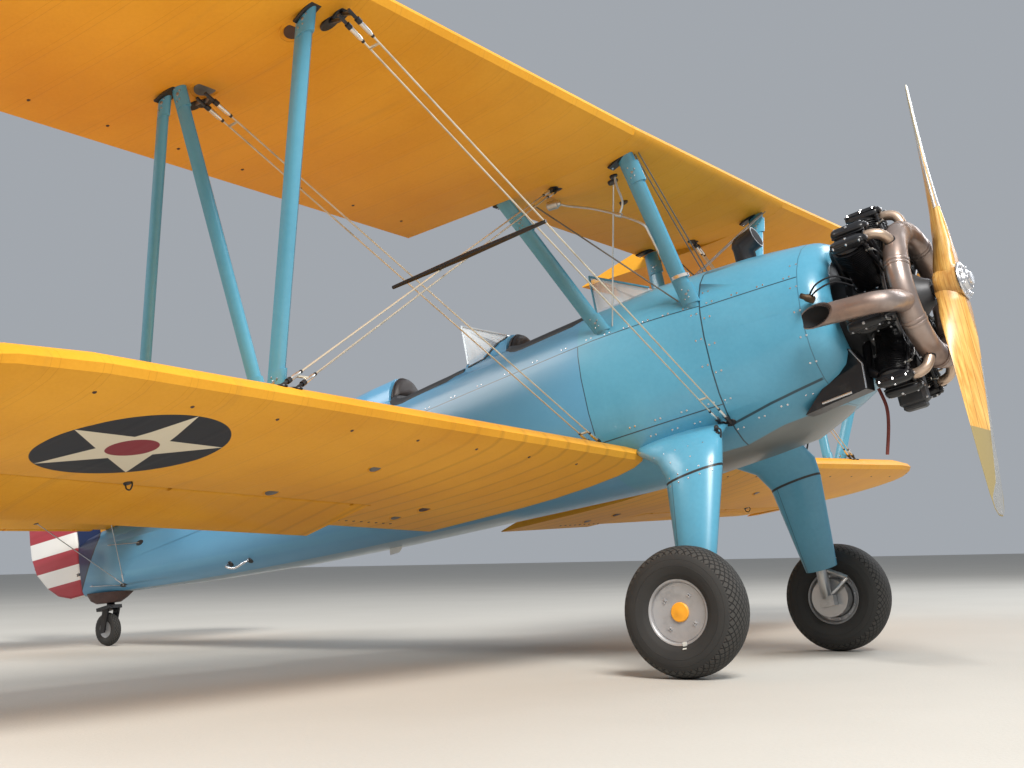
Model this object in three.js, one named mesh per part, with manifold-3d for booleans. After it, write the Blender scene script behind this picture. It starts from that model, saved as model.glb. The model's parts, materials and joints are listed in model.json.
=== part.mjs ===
// Two-seat training biplane with an open radial engine, parked on its wheels.
// Millimetres. Everything is drawn in the aircraft's own axes: x forward from the middle of the
// propeller, y to port, z up from the thrust line. The whole aircraft is then pitched nose-up
// about y until all three tyres stand on z = 0, and moved so that its box is centred on the origin.

import * as THREE from 'three';
import { mergeVertices } from 'three/addons/utils/BufferGeometryUtils.js';
import Module from 'manifold-3d';

const wasm = await Module();
wasm.setup();

// Driving dimensions.
const seatGap = 0.3; // between pieces that touch
const runningGap = 6; // between a moving piece and what it passes
const sides = { left: 1, right: -1 };

const wingChord = 1524;
const upperSpan = 9804;
const lowerSpan = 9502;
const wingStagger = 657;
const wingGap = 1518;
const upperLeadingEdge = { x: -1070, z: 1086 };
const upperDihedral = THREE.MathUtils.degToRad(1.13);
const lowerDihedral = THREE.MathUtils.degToRad(2.145);
const upperIncidence = THREE.MathUtils.degToRad(1.1);
const lowerIncidence = THREE.MathUtils.degToRad(1.9);
const centreHalfSpan = 948;
const centreChord = 1020;
const lowerRootY = 537;
const strutY = { foot: 3020, top: 3212 };

const cowlLip = -505;
const cowlSeam = -640;
const firewall = -1178;
const midSplit = -3750;
const sternpost = -6845;

const mainAxle = { x: -1375, y: 987.5, z: -1346 };
const mainTyre = { radius: 316, width: 218 };
const tailAxle = { x: -6654, z: -406 };
const tailTyre = { radius: 124, width: 72 };

// The parked attitude: the line through the axles tilts until both tyre sizes stand level.
const axleRun = mainAxle.x - tailAxle.x;
const axleDrop = tailAxle.z - mainAxle.z;
const pitch = Math.atan2(axleDrop, axleRun)
  + Math.asin((mainTyre.radius - tailTyre.radius) / Math.hypot(axleRun, axleDrop));

const propellerRadius = 1244;
const propellerTurn = 0.231; // the upper blade leans to port by this angle
const bossHalf = 66; // half the thickness of the propeller's middle

const rudderHinge = -6880;
const elevatorHinge = { x: -6552, z: 350, rest: 14 }; // rest: degrees up when parked
const aileron = {
  hinge: 0.7,
  inner: 1470,
  outer: 4150,
  leftRest: THREE.MathUtils.degToRad(2),
  rightRest: THREE.MathUtils.degToRad(-9),
};

const paint = {
  blue: { color: 0x4fa0c4, roughness: 0.35, metalness: 0.1 },
  yellow: { color: 0xe9a01f, roughness: 0.5, metalness: 0 },
  red: { color: 0xb5303a, roughness: 0.5, metalness: 0 },
  black: { color: 0x17181a, roughness: 0.45, metalness: 0.3 },
  iron: { color: 0x232427, roughness: 0.5, metalness: 0.6 },
  burnt: { color: 0x7a5a4c, roughness: 0.45, metalness: 0.8 },
  steel: { color: 0xb9bcbf, roughness: 0.3, metalness: 0.9 },
  silver: { color: 0xb4b6b8, roughness: 0.45, metalness: 0.5 },
  rubber: { color: 0x26262a, roughness: 0.85, metalness: 0 },
  wood: { color: 0xc98f3c, roughness: 0.25, metalness: 0 },
  leather: { color: 0x26211f, roughness: 0.6, metalness: 0 },
  glass: { color: 0xdfe8ea, roughness: 0.05, metalness: 0 },
};

// Solids.

function solidOf(geometry) {
  const bare = geometry.clone();
  bare.deleteAttribute('normal');
  bare.deleteAttribute('uv');
  const welded = mergeVertices(bare, 1e-3);
  return new wasm.Manifold(new wasm.Mesh({
    numProp: 3,
    vertProperties: new Float32Array(welded.attributes.position.array),
    triVerts: new Uint32Array(welded.index.array),
  }));
}

function geometryOf(solid) {
  const { vertProperties, triVerts } = solid.getMesh();
  const geometry = new THREE.BufferGeometry();
  geometry.setAttribute('position', new THREE.BufferAttribute(vertProperties, 3));
  geometry.setIndex(new THREE.BufferAttribute(triVerts, 1));
  geometry.computeVertexNormals();
  return geometry;
}

function joined(...solids) {
  return solids.reduce((whole, next) => whole.add(next));
}

function signedVolume(points, faces) {
  let volume = 0;
  for (let f = 0; f < faces.length; f += 3) {
    const [a, b, c] = [points[faces[f]], points[faces[f + 1]], points[faces[f + 2]]];
    volume += a.dot(b.clone().cross(c));
  }
  return volume;
}

// A closed skin over rings of the same number of points, with flat ends.
function loft(rings) {
  const count = rings[0].length;
  const points = rings.flat();
  const faces = [];
  for (let r = 0; r < rings.length - 1; r += 1) {
    for (let i = 0; i < count; i += 1) {
      const a = r * count + i;
      const b = r * count + ((i + 1) % count);
      faces.push(a, b, a + count, b, b + count, a + count);
    }
  }
  const last = (rings.length - 1) * count;
  for (const [a, b, c] of endFaces(rings[0])) {
    faces.push(c, b, a);
  }
  for (const [a, b, c] of endFaces(rings[rings.length - 1])) {
    faces.push(last + a, last + b, last + c);
  }
  if (signedVolume(points, faces) < 0) {
    faces.reverse();
  }
  const geometry = new THREE.BufferGeometry().setFromPoints(points);
  geometry.setIndex(faces);
  return solidOf(geometry);
}

// Triangles that fill one ring, turned the way the ring runs.
function endFaces(ring) {
  const normal = new THREE.Vector3();
  ring.forEach((point, i) => normal.add(point.clone().cross(ring[(i + 1) % ring.length])));
  const across = Math.abs(normal.x) > Math.max(Math.abs(normal.y), Math.abs(normal.z)) ? 'x'
    : Math.abs(normal.y) > Math.abs(normal.z) ? 'y' : 'z';
  const [u, v] = { x: ['y', 'z'], y: ['z', 'x'], z: ['x', 'y'] }[across];
  const flat = ring.map((point) => new THREE.Vector2(point[u], point[v]));
  const faces = THREE.ShapeUtils.triangulateShape(flat, []);
  const turned = THREE.ShapeUtils.area(flat) < 0;
  return faces.map(([a, b, c]) => {
    const area = THREE.ShapeUtils.area([flat[a], flat[b], flat[c]]);
    return (area < 0) === turned ? [a, b, c] : [c, b, a];
  });
}

function box(sizeX, sizeY, sizeZ, at) {
  return solidOf(new THREE.BoxGeometry(sizeX, sizeY, sizeZ)).translate(at);
}

// A round bar from one point to another, which may taper.
function rod(from, to, radius, segments = 8, endRadius = radius) {
  const along = new THREE.Vector3().subVectors(to, from);
  const geometry = new THREE.CylinderGeometry(endRadius, radius, along.length(), segments);
  const turn = new THREE.Quaternion().setFromUnitVectors(new THREE.Vector3(0, 1, 0),
    along.clone().normalize());
  geometry.applyQuaternion(turn);
  geometry.translate(...new THREE.Vector3().addVectors(from, to).multiplyScalar(0.5).toArray());
  return solidOf(geometry);
}

// A body of revolution about x, from [x, radius] pairs that start and end on the axis.
function turnedAboutX(profile, segments) {
  const points = profile.map(([x, radius]) => new THREE.Vector2(radius, x));
  const geometry = new THREE.LatheGeometry(points, segments);
  geometry.rotateZ(-Math.PI / 2);
  return solidOf(outward(geometry));
}

// A body of revolution about y, closed on itself or ended on the axis.
function turnedAboutY(profile, segments) {
  const points = profile.map(([y, radius]) => new THREE.Vector2(radius, y));
  return solidOf(outward(new THREE.LatheGeometry(points, segments)));
}

function outward(geometry) {
  const bare = geometry.clone();
  bare.deleteAttribute('normal');
  bare.deleteAttribute('uv');
  const welded = mergeVertices(bare, 1e-3);
  const position = welded.attributes.position;
  const points = [];
  for (let i = 0; i < position.count; i += 1) {
    points.push(new THREE.Vector3().fromBufferAttribute(position, i));
  }
  const whole = Array.from(welded.index.array);
  const faces = [];
  for (let f = 0; f < whole.length; f += 3) {
    const [a, b, c] = whole.slice(f, f + 3);
    if (a !== b && b !== c && c !== a) {
      faces.push(a, b, c);
    }
  }
  if (signedVolume(points, faces) < 0) {
    faces.reverse();
  }
  const result = new THREE.BufferGeometry().setFromPoints(points);
  result.setIndex(faces);
  return result;
}

// A plate of even thickness with rounded edges. The outline is in the plane it is drawn in.
function plate(outline, thickness, plane) {
  const shape = new THREE.Shape(outline.map(([a, b]) => new THREE.Vector2(a, b)));
  const bevel = thickness * 0.42;
  const geometry = new THREE.ExtrudeGeometry(shape, {
    depth: thickness - 2 * bevel,
    bevelEnabled: true,
    bevelThickness: bevel,
    bevelSize: bevel,
    bevelOffset: -bevel,
    bevelSegments: 3,
    curveSegments: 6,
  });
  geometry.translate(0, 0, bevel - thickness / 2);
  if (plane === 'upright') {
    geometry.rotateX(Math.PI / 2);
  }
  return solidOf(outward(geometry));
}

// Fuselage.

// Each ring is a rounded oblong: x, half width, top, bottom, and how square its corners are.
const fuselageRings = [
  { x: cowlLip, width: 395, top: 375, bottom: -345, square: 2.1 },
  { x: cowlLip - 25, width: 432, top: 412, bottom: -382, square: 2.1 },
  { x: cowlLip - 75, width: 462, top: 440, bottom: -412, square: 2.15 },
  { x: cowlSeam, width: 470, top: 450, bottom: -440, square: 2.2 },
  { x: -800, width: 473, top: 470, bottom: -508, square: 2.3 },
  { x: -940, width: 474, top: 484, bottom: -560, square: 2.4 },
  { x: firewall, width: 475, top: 497, bottom: -574, square: 2.5 },
  { x: -1500, width: 478, top: 512, bottom: -585, square: 2.6 },
  { x: -2000, width: 478, top: 505, bottom: -570, square: 2.6 },
  { x: -2600, width: 458, top: 484, bottom: -530, square: 2.6 },
  { x: -3100, width: 432, top: 470, bottom: -500, square: 2.6 },
  { x: midSplit, width: 390, top: 450, bottom: -462, square: 2.5 },
  { x: -4600, width: 310, top: 398, bottom: -393, square: 2.4 },
  { x: -5500, width: 212, top: 370, bottom: -296, square: 2.4 },
  { x: -6300, width: 115, top: 337, bottom: -188, square: 2.4 },
  { x: sternpost, width: 40, top: 318, bottom: -118, square: 2.4 },
];
const fuselageMidZ = -40;
const fuselageSides = 28;

function roundedOblong({ x, width, top, bottom, square }, grow) {
  const ring = [];
  for (let i = 0; i < fuselageSides; i += 1) {
    const angle = ((i + 0.5) / fuselageSides) * 2 * Math.PI;
    const c = Math.cos(angle);
    const s = Math.sin(angle);
    const reach = s > 0 ? top + grow - fuselageMidZ : fuselageMidZ - bottom + grow;
    ring.push(new THREE.Vector3(
      x,
      (width + grow) * Math.sign(c) * Math.abs(c) ** (2 / square),
      fuselageMidZ + reach * Math.sign(s) * Math.abs(s) ** (2 / square),
    ));
  }
  return ring;
}

function fuselageSkin(grow = 0) {
  const last = fuselageRings.length - 1;
  return loft(fuselageRings.map((ring, i) => {
    const stretch = i === 0 ? grow : 0;
    const x = i === last ? ring.x - grow : ring.x + stretch;
    return roundedOblong({ ...ring, x }, grow);
  }));
}

// The fairing behind a headrest: x, half width, top and base of each of its domed rings.
const headrestFairings = {
  front: [
    { x: -2605, width: 168, top: 598, base: 340 },
    { x: -2700, width: 190, top: 584, base: 340 },
    { x: -2800, width: 205, top: 562, base: 340 },
    { x: -2895, width: 215, top: 535, base: 340 },
  ],
  rear: [
    { x: -3545, width: 165, top: 605, base: 340 },
    { x: -3750, width: 155, top: 596, base: 340 },
    { x: -3920, width: 142, top: 583, base: 340 },
    { x: -4400, width: 110, top: 525, base: 320 },
    { x: -5000, width: 65, top: 435, base: 290 },
    { x: -5500, width: 20, top: 345, base: 260 },
  ],
};

function headrestFairing(rings, grow = 0) {
  return loft(rings.map(({ x, width, top, base }, r) => {
    const end = (r === 0) - (r === rings.length - 1);
    const ring = [];
    for (let i = 0; i <= 10; i += 1) {
      const angle = (i / 10) * Math.PI;
      const rise = (top + grow - base) * Math.sin(angle) ** 0.8;
      ring.push(new THREE.Vector3(x + end * grow, (width + grow) * Math.cos(angle), base + rise));
    }
    ring.push(new THREE.Vector3(x + end * grow, 0, base - 60));
    return ring;
  }));
}

const cockpits = {
  front: { nose: -1640, tail: -2535, width: 285, floor: -330 },
  rear: { nose: -2900, tail: -3470, width: 275, floor: -320 },
};

function cockpitWell({ nose, tail, width, floor }) {
  const length = nose - tail;
  const corner = 150;
  const shape = new THREE.Shape();
  shape.moveTo(tail + corner, -width);
  shape.lineTo(nose - corner, -width);
  shape.absarc(nose - corner, -width + corner, corner, -Math.PI / 2, 0);
  shape.absarc(nose - corner, width - corner, corner, 0, Math.PI / 2);
  shape.absarc(tail + corner, width - corner, corner, Math.PI / 2, Math.PI);
  shape.absarc(tail + corner, -width + corner, corner, Math.PI, Math.PI * 1.5);
  const geometry = new THREE.ExtrudeGeometry(shape, {
    depth: length + 600, bevelEnabled: false, curveSegments: 4,
  });
  geometry.translate(0, 0, floor);
  return solidOf(outward(geometry));
}

const wholeFuselage = joined(
  fuselageSkin(),
  headrestFairing(headrestFairings.front),
  headrestFairing(headrestFairings.rear),
)
  .subtract(cockpitWell(cockpits.front))
  .subtract(cockpitWell(cockpits.rear));

function fuselageBetween(front, rear) {
  const length = front - rear - seatGap;
  return box(length, 2000, 2000, [(front + rear) / 2, 0, 0]).intersect(wholeFuselage);
}

function noseCowl() {
  const mouth = rod(new THREE.Vector3(cowlLip + 10, 0, 10), new THREE.Vector3(cowlLip - 70, 0, 10),
    330, 28);
  return fuselageBetween(cowlLip + 50, firewall).subtract(mouth);
}

// Wings.

// Places along the chord where the section is drawn, as shares of the chord.
const sectionStations = [0, 0.0125, 0.05, 0.12, 0.25, 0.4, 0.55, 0.7, 0.86, 1];

function halfThickness(share) {
  return 5 * 0.13 * (0.2969 * Math.sqrt(share) - 0.126 * share - 0.3516 * share ** 2
    + 0.2843 * share ** 3 - 0.1036 * share ** 4);
}

function camberHeight(share) {
  const most = 0.02;
  const place = 0.3;
  return share < place
    ? (most / place ** 2) * (2 * place * share - share ** 2)
    : (most / (1 - place) ** 2) * (1 - 2 * place + 2 * place * share - share ** 2);
}

// Half thickness and camber of a section. A section cut short keeps the whole wing's shape as
// far as the share `keeps` of the whole chord, and then thins towards its own rear edge.
function sectionAt(share, chord, keeps) {
  if (!keeps) {
    return { half: halfThickness(share) * chord, camber: camberHeight(share) * chord };
  }
  const real = (share * chord) / wingChord;
  const end = chord / wingChord;
  const thinning = real > keeps ? 1 - ((real - keeps) / (end - keeps)) ** 1.5 : 1;
  return {
    half: halfThickness(real) * wingChord * thinning,
    camber: camberHeight(real) * wingChord,
  };
}

// One ring of a wing: the chord runs aft and down from the leading edge by the incidence.
function wingRing({ edge, chord, incidence, grow, keeps }) {
  const edgeThickness = 3;
  const ring = [];
  const place = (share, side) => {
    const { half, camber } = sectionAt(share, chord, keeps);
    const least = share === 0 ? 0 : edgeThickness;
    const up = camber + side * (Math.max(half, least) + grow);
    const aft = share * chord + (share === 0 ? -grow : 0) + (share === 1 ? grow : 0);
    ring.push(new THREE.Vector3(
      edge.x - aft * Math.cos(incidence) - up * Math.sin(incidence),
      edge.y,
      edge.z - aft * Math.sin(incidence) + up * Math.cos(incidence),
    ));
  };
  for (let i = sectionStations.length - 1; i > 0; i -= 1) {
    place(sectionStations[i], 1);
  }
  place(0, 0);
  for (let i = 1; i < sectionStations.length; i += 1) {
    place(sectionStations[i], -1);
  }
  return ring;
}

// A wing panel of even chord whose tip is rounded over its last stretch.
function wingPanel({ side, innerY, tipY, rootY, edge, dihedral, incidence, grow = 0 }) {
  const tipStretch = 760;
  const tipAngles = [0, 24, 43, 58, 70, 80];
  const edgeAt = (y, back) => ({
    x: edge.x - back,
    y: y * side,
    z: edge.z + (y - rootY) * Math.tan(dihedral),
  });
  const lastAngle = tipAngles[tipAngles.length - 1];
  const rings = [wingRing({ incidence, grow, edge: edgeAt(innerY, 0), chord: wingChord })];
  for (const degrees of tipAngles) {
    const angle = THREE.MathUtils.degToRad(degrees);
    const reach = Math.sin(angle) / Math.sin(THREE.MathUtils.degToRad(lastAngle));
    const y = tipY - tipStretch + tipStretch * reach;
    const chord = wingChord * Math.cos(angle) ** 0.72;
    rings.push(wingRing({ incidence, grow, edge: edgeAt(y, (wingChord - chord) * 0.45), chord }));
  }
  return loft(rings);
}

function upperPanel(side, grow = 0) {
  return wingPanel({
    side,
    innerY: centreHalfSpan + seatGap - grow,
    tipY: upperSpan / 2,
    rootY: centreHalfSpan,
    edge: upperLeadingEdge,
    dihedral: upperDihedral,
    incidence: upperIncidence,
    grow,
  });
}

const lowerLeadingEdge = {
  x: upperLeadingEdge.x - wingStagger,
  z: upperLeadingEdge.z - wingGap,
};

function lowerPanel(side, grow = 0) {
  return wingPanel({
    side,
    innerY: 380,
    tipY: lowerSpan / 2,
    rootY: lowerRootY,
    edge: lowerLeadingEdge,
    dihedral: lowerDihedral,
    incidence: lowerIncidence,
    grow,
  });
}

function centreSection(grow = 0) {
  const rings = [-centreHalfSpan, centreHalfSpan].map((y) => wingRing({
    edge: { x: upperLeadingEdge.x, y, z: upperLeadingEdge.z },
    chord: centreChord,
    incidence: upperIncidence,
    grow,
    keeps: 0.3,
  }));
  return loft(rings);
}

// The aileron's hinge runs at a fixed share of the chord, half way through the section.
function aileronHingeAt(y, side) {
  const aft = aileron.hinge * wingChord;
  const up = camberHeight(aileron.hinge) * wingChord;
  return new THREE.Vector3(
    lowerLeadingEdge.x - aft * Math.cos(lowerIncidence) - up * Math.sin(lowerIncidence),
    y * side,
    lowerLeadingEdge.z + (y - lowerRootY) * Math.tan(lowerDihedral)
      - aft * Math.sin(lowerIncidence) + up * Math.cos(lowerIncidence),
  );
}

function aileronZone(side, noseRadius, shrink) {
  const inner = aileron.inner + shrink;
  const outer = aileron.outer - shrink;
  const [from, to] = [aileronHingeAt(inner, side), aileronHingeAt(outer, side)];
  const aft = 700;
  const nose = rod(from, to, noseRadius, 20);
  const high = 400;
  const corners = [[0, high], [-aft, high], [-aft, -high], [0, -high]];
  const behind = loft([from, to].map((point) => corners.map(([x, z]) => new THREE.Vector3(
    point.x + x,
    point.y,
    point.z + z,
  ))));
  return joined(nose, behind);
}

const aileronDepth = halfThickness(aileron.hinge) * wingChord;
const aileronNose = 0.92 * aileronDepth;
const aileronHinges = [1600, 2810, 4020];

// A hinge is a lug on the fixed part that stands in a notch of the moving part.
const lug = { width: 22, radius: 15 };
const lugRoot = 12; // how far a lug runs into what carries it

function hingeLug(reach) {
  const eye = rod(new THREE.Vector3(0, -lug.width / 2, 0), new THREE.Vector3(0, lug.width / 2, 0),
    lug.radius, 12);
  return joined(eye, box(reach, lug.width, 2 * lug.radius - 6, [reach / 2, 0, 0]));
}

function hingeNotch(reach) {
  const back = lug.radius + 6;
  return box(reach + back, lug.width + 2 * seatGap, 2 * reach, [(reach - back) / 2, 0, 0]);
}

function aileronLug(y, side, notched) {
  const at = aileronHingeAt(y, side);
  const tilt = THREE.MathUtils.radToDeg(lowerDihedral) * side;
  const piece = notched ? hingeNotch(aileronDepth + 20) : hingeLug(aileronDepth + 20);
  return piece.rotate([tilt, 0, 0]).translate(at.toArray());
}

function lowerWing(side) {
  const bay = aileronZone(side, aileronDepth + runningGap, 0);
  const lugs = aileronHinges.map((y) => aileronLug(y, side, false));
  return joined(lowerPanel(side).subtract(bay), ...lugs).subtract(fuselageSkin(seatGap));
}

// The left aileron rests a little up and the right one further down, as with the stick leaning.
function aileronSolid(side) {
  const whole = lowerPanel(side).intersect(aileronZone(side, aileronNose, runningGap));
  const neutral = trimmedBy(whole, aileronHinges.map((y) => aileronLug(y, side, true)));
  const from = aileronHingeAt(aileron.inner, side);
  const to = aileronHingeAt(aileron.outer, side);
  const axis = new THREE.Vector3().subVectors(to, from).multiplyScalar(side).normalize();
  const rest = side > 0 ? aileron.leftRest : aileron.rightRest;
  const turn = new THREE.Matrix4().makeRotationAxis(axis, rest);
  const geometry = geometryOf(neutral);
  geometry.translate(-from.x, -from.y, -from.z);
  geometry.applyMatrix4(turn);
  geometry.translate(from.x, from.y, from.z);
  return geometry;
}

// Struts.

const upperSurfaces = [centreSection(seatGap), upperPanel(1, seatGap), upperPanel(-1, seatGap)];
const lowerSurfaces = [lowerPanel(1, seatGap), lowerPanel(-1, seatGap)];

// A streamlined strut: chord along x, drawn between two points that lie inside what it joins.
function streamlinedStrut(from, to, chord, thickness) {
  const shares = [0, 0.08, 0.3, 0.65, 1];
  const swell = [0, 0.62, 1, 0.72, 0.08];
  const ringAt = (centre) => {
    const ring = [];
    const put = (i, side) => ring.push(new THREE.Vector3(
      centre.x + chord * (0.4 - shares[i]),
      centre.y + side * swell[i] * thickness * 0.5,
      centre.z,
    ));
    for (let i = shares.length - 1; i > 0; i -= 1) {
      put(i, 1);
    }
    put(0, 0);
    for (let i = 1; i < shares.length; i += 1) {
      put(i, -1);
    }
    return ring;
  };
  return loft([ringAt(from), ringAt(to)]);
}

function trimmedBy(solid, cutters) {
  return cutters.reduce((left, cutter) => left.subtract(cutter), solid);
}

// Cabane struts: where each meets the fuselage and the centre section.
const cabaneStruts = {
  front: { foot: { x: -1219, y: 417, z: 236 }, top: { x: -1211, y: 812, z: 1010 } },
  rear: { foot: { x: -1778, y: 408, z: 269 }, top: { x: -1964, y: 812, z: 1000 } },
};

function extended(from, to, atFrom, atTo) {
  const along = new THREE.Vector3().subVectors(to, from).normalize();
  return [
    from.clone().addScaledVector(along, -atFrom),
    to.clone().addScaledVector(along, atTo),
  ];
}

function cabaneStrut(place, side) {
  const { foot, top } = cabaneStruts[place];
  const [from, to] = extended(
    new THREE.Vector3(foot.x, foot.y * side, foot.z),
    new THREE.Vector3(top.x, top.y * side, top.z),
    60,
    70,
  );
  const strut = streamlinedStrut(from, to, 96, 42);
  return trimmedBy(strut, [fuselageSkin(seatGap), upperSurfaces[0]]);
}

// Interplane struts: an N of a front, a rear and a slanting strut on each side.
const upperZ = (y) => upperLeadingEdge.z + (y - centreHalfSpan) * Math.tan(upperDihedral);
const lowerZ = (y) => lowerLeadingEdge.z + (y - lowerRootY) * Math.tan(lowerDihedral);
const strutEnds = {
  upperFront: { x: upperLeadingEdge.x - 163, z: upperZ(strutY.top) },
  upperRear: { x: upperLeadingEdge.x - 973, z: upperZ(strutY.top) },
  lowerFront: { x: lowerLeadingEdge.x - 195, z: lowerZ(strutY.foot) - 10 },
  lowerRear: { x: lowerLeadingEdge.x - 1010, z: lowerZ(strutY.foot) - 10 },
};
const strutRows = {
  front: { foot: 'lowerFront', top: 'upperFront', chord: 92, thickness: 40 },
  rear: { foot: 'lowerRear', top: 'upperRear', chord: 68, thickness: 32 },
  slanting: { foot: 'lowerFront', top: 'upperRear', chord: 72, thickness: 34, beside: [-48, 54] },
};

function interplaneStrut(kind, side) {
  const row = strutRows[kind];
  const foot = strutEnds[row.foot];
  const top = strutEnds[row.top];
  const [footShift, topShift] = row.beside ?? [0, 0];
  const strut = streamlinedStrut(
    new THREE.Vector3(foot.x + footShift, strutY.foot * side, foot.z),
    new THREE.Vector3(top.x + topShift, strutY.top * side, top.z),
    row.chord,
    row.thickness,
  );
  const sideIndex = side > 0 ? 0 : 1;
  return trimmedBy(strut, [upperSurfaces[1 + sideIndex], lowerSurfaces[sideIndex]]);
}

// Main stays: pairs of flying and landing wires, spread where they cross.
const wireRadius = 4;
const abreast = { foot: [50, 0, 0], top: [50, 0, 0] };
const wirePairs = {
  flying_wires_front: { foot: [-1205, 470, -368], top: [-1112, 3150, 985], apart: abreast },
  flying_wires_rear: { foot: [-1917, 500, -345], top: [-1900, 3150, 985], apart: abreast },
  landing_wires: {
    foot: [-1795, 3093, -300],
    top: [-1663, 778, 1043],
    apart: { foot: [0, 90, 0], top: [0, 40, 0] },
  },
};
const spreader = { y: 1970, z: 386, front: -1120, rear: -2010, radius: 15 };

function wirePair(kind, side, grow = 0) {
  const { foot, top, apart } = wirePairs[kind];
  const [low, high] = extended(
    new THREE.Vector3(foot[0], foot[1] * side, foot[2]),
    new THREE.Vector3(top[0], top[1] * side, top[2]),
    25,
    25,
  );
  const shifted = (point, end, share) => {
    const [dx, dy, dz] = apart[end];
    return point.clone().addScaledVector(new THREE.Vector3(dx, dy * side, dz), share);
  };
  const wires = [-0.5, 0.5].map((share) => (
    rod(shifted(low, 'foot', share), shifted(high, 'top', share), wireRadius + grow, 6)
  ));
  if (grow > 0) {
    return joined(...wires);
  }
  const barAt = (share) => {
    const ends = [-0.5, 0.5].map((half) => (
      shifted(low, 'foot', half).lerp(shifted(high, 'top', half), share)
    ));
    return rod(...ends, wireRadius + 2, 6);
  };
  const bars = [0.06, 0.94].map(barAt);
  const whole = joined(...wires, ...bars);
  const sideIndex = side > 0 ? 0 : 1;
  return trimmedBy(whole, [
    fuselageSkin(seatGap),
    upperSurfaces[0],
    upperSurfaces[1 + sideIndex],
    lowerSurfaces[sideIndex],
  ]);
}

function wireSpreader(side) {
  const front = new THREE.Vector3(spreader.front, spreader.y * side, spreader.z);
  const rear = new THREE.Vector3(spreader.rear, spreader.y * side, spreader.z);
  const middle = front.clone().lerp(rear, 0.5);
  const bar = joined(
    rod(middle, front, spreader.radius, 10, spreader.radius * 0.6),
    rod(middle, rear, spreader.radius, 10, spreader.radius * 0.6),
  );
  return trimmedBy(bar, Object.keys(wirePairs).map((kind) => wirePair(kind, side, seatGap)));
}

// Undercarriage.

// A leg fairing is an oval that leans outboard: middle of each ring, its chord and thickness.
const legRings = [
  { x: -1362, y: 806, z: -1172, chord: 196, thickness: 112 },
  { x: -1328, y: 655, z: -664, chord: 318, thickness: 165 },
  { x: -1350, y: 615, z: -560, chord: 380, thickness: 175 },
  { x: -1430, y: 520, z: -470, chord: 490, thickness: 170 },
  { x: -1480, y: 400, z: -420, chord: 570, thickness: 150 },
];

function legRing({ x, y, z, chord, thickness }, side) {
  const ring = [];
  const count = 20;
  const lean = THREE.MathUtils.degToRad(16.6);
  for (let i = 0; i < count; i += 1) {
    const angle = (i / count) * 2 * Math.PI;
    const across = Math.sin(angle) * thickness * 0.5;
    ring.push(new THREE.Vector3(
      x + Math.cos(angle) * chord * 0.5,
      side * (y + across * Math.cos(lean)),
      z + across * Math.sin(lean),
    ));
  }
  return ring;
}

const axleRadius = 25.9;
const axleBore = 26 + seatGap;

// How far inboard of the wheel's middle these lie, and the joints of the torque link.
const drumPlaces = { knuckle: 174, back: 138, front: 60, axleEnd: -68 };
const torqueLink = { top: [-1330, 806, -1188], elbow: [-1225, 812, -1255] };

function gearLeg(side) {
  const whole = loft(legRings.map((ring) => legRing(ring, side)));
  return trimmedBy(whole, [fuselageSkin(seatGap), lowerSurfaces[side > 0 ? 0 : 1]]);
}

// Below the fairing: the sliding tube, its torque link, the stub axle and the brake drum.
function wheelStrut(side) {
  const at = (x, y, z) => new THREE.Vector3(x, side * y, z);
  const onAxle = (inboard) => at(mainAxle.x, mainAxle.y - inboard, mainAxle.z);
  const tubeTop = at(legRings[0].x, legRings[0].y - 4, legRings[0].z + 30);
  const knuckle = onAxle(drumPlaces.knuckle);
  const tube = rod(tubeTop, knuckle, 34, 12);
  const axle = rod(knuckle, onAxle(drumPlaces.axleEnd), axleRadius, 32);
  const drum = rod(onAxle(drumPlaces.back), onAxle(drumPlaces.front), 112, 24);
  const elbow = at(torqueLink.elbow[0], torqueLink.elbow[1], torqueLink.elbow[2]);
  const link = joined(
    rod(at(torqueLink.top[0], torqueLink.top[1], torqueLink.top[2]), elbow, 12, 6),
    rod(elbow, knuckle, 12, 6),
  );
  const foot = box(90, 60, 60, knuckle.clone().add(at(0, 0, -20)).toArray());
  const fairing = loft(legRings.map((ring) => legRing({ ...ring, z: ring.z - seatGap }, side)));
  return joined(tube, axle, drum, link, foot).subtract(fairing);
}

// A tyre's facets are turned so that the parked aircraft stands on a flat one of each.
function tyreSolid(profile, segments) {
  const half = 180 / segments;
  const stretch = 1 / Math.cos(THREE.MathUtils.degToRad(half));
  return turnedAboutY(profile.map(([y, radius]) => [y, radius * stretch]), segments)
    .rotate([0, half + THREE.MathUtils.radToDeg(pitch), 0]);
}

const rimRadius = 152;

function mainTyreSolid() {
  const half = mainTyre.width / 2;
  const crown = mainTyre.radius;
  const profile = [
    [-half * 0.72, rimRadius],
    [-half * 0.98, rimRadius + 45],
    [-half, crown - 90],
    [-half * 0.84, crown - 34],
    [-half * 0.5, crown - 7],
    [0, crown],
    [half * 0.5, crown - 7],
    [half * 0.84, crown - 34],
    [half, crown - 90],
    [half * 0.98, rimRadius + 45],
    [half * 0.72, rimRadius],
    [-half * 0.72, rimRadius],
  ];
  return tyreSolid(profile, 32);
}

// The wheel is a dished hub with a flat disc outside, open towards the brake drum inside.
function mainWheelSolid(side) {
  const rim = rimRadius - seatGap;
  const outer = 82;
  const web = 40;
  const inner = -78;
  const profile = [
    [outer - 8, 0],
    [outer - 8, axleBore],
    [-web, axleBore],
    [-web, axleBore + 20],
    [web, axleBore + 20],
    [web, rim - 26],
    [inner, rim - 12],
    [inner, rim],
    [outer - 6, rim],
    [outer, rim - 8],
    [outer, 0],
  ];
  const body = turnedAboutY(profile, 32);
  return side > 0 ? body : body.mirror([0, 1, 0]);
}

const tailRimRadius = 62;

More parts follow.
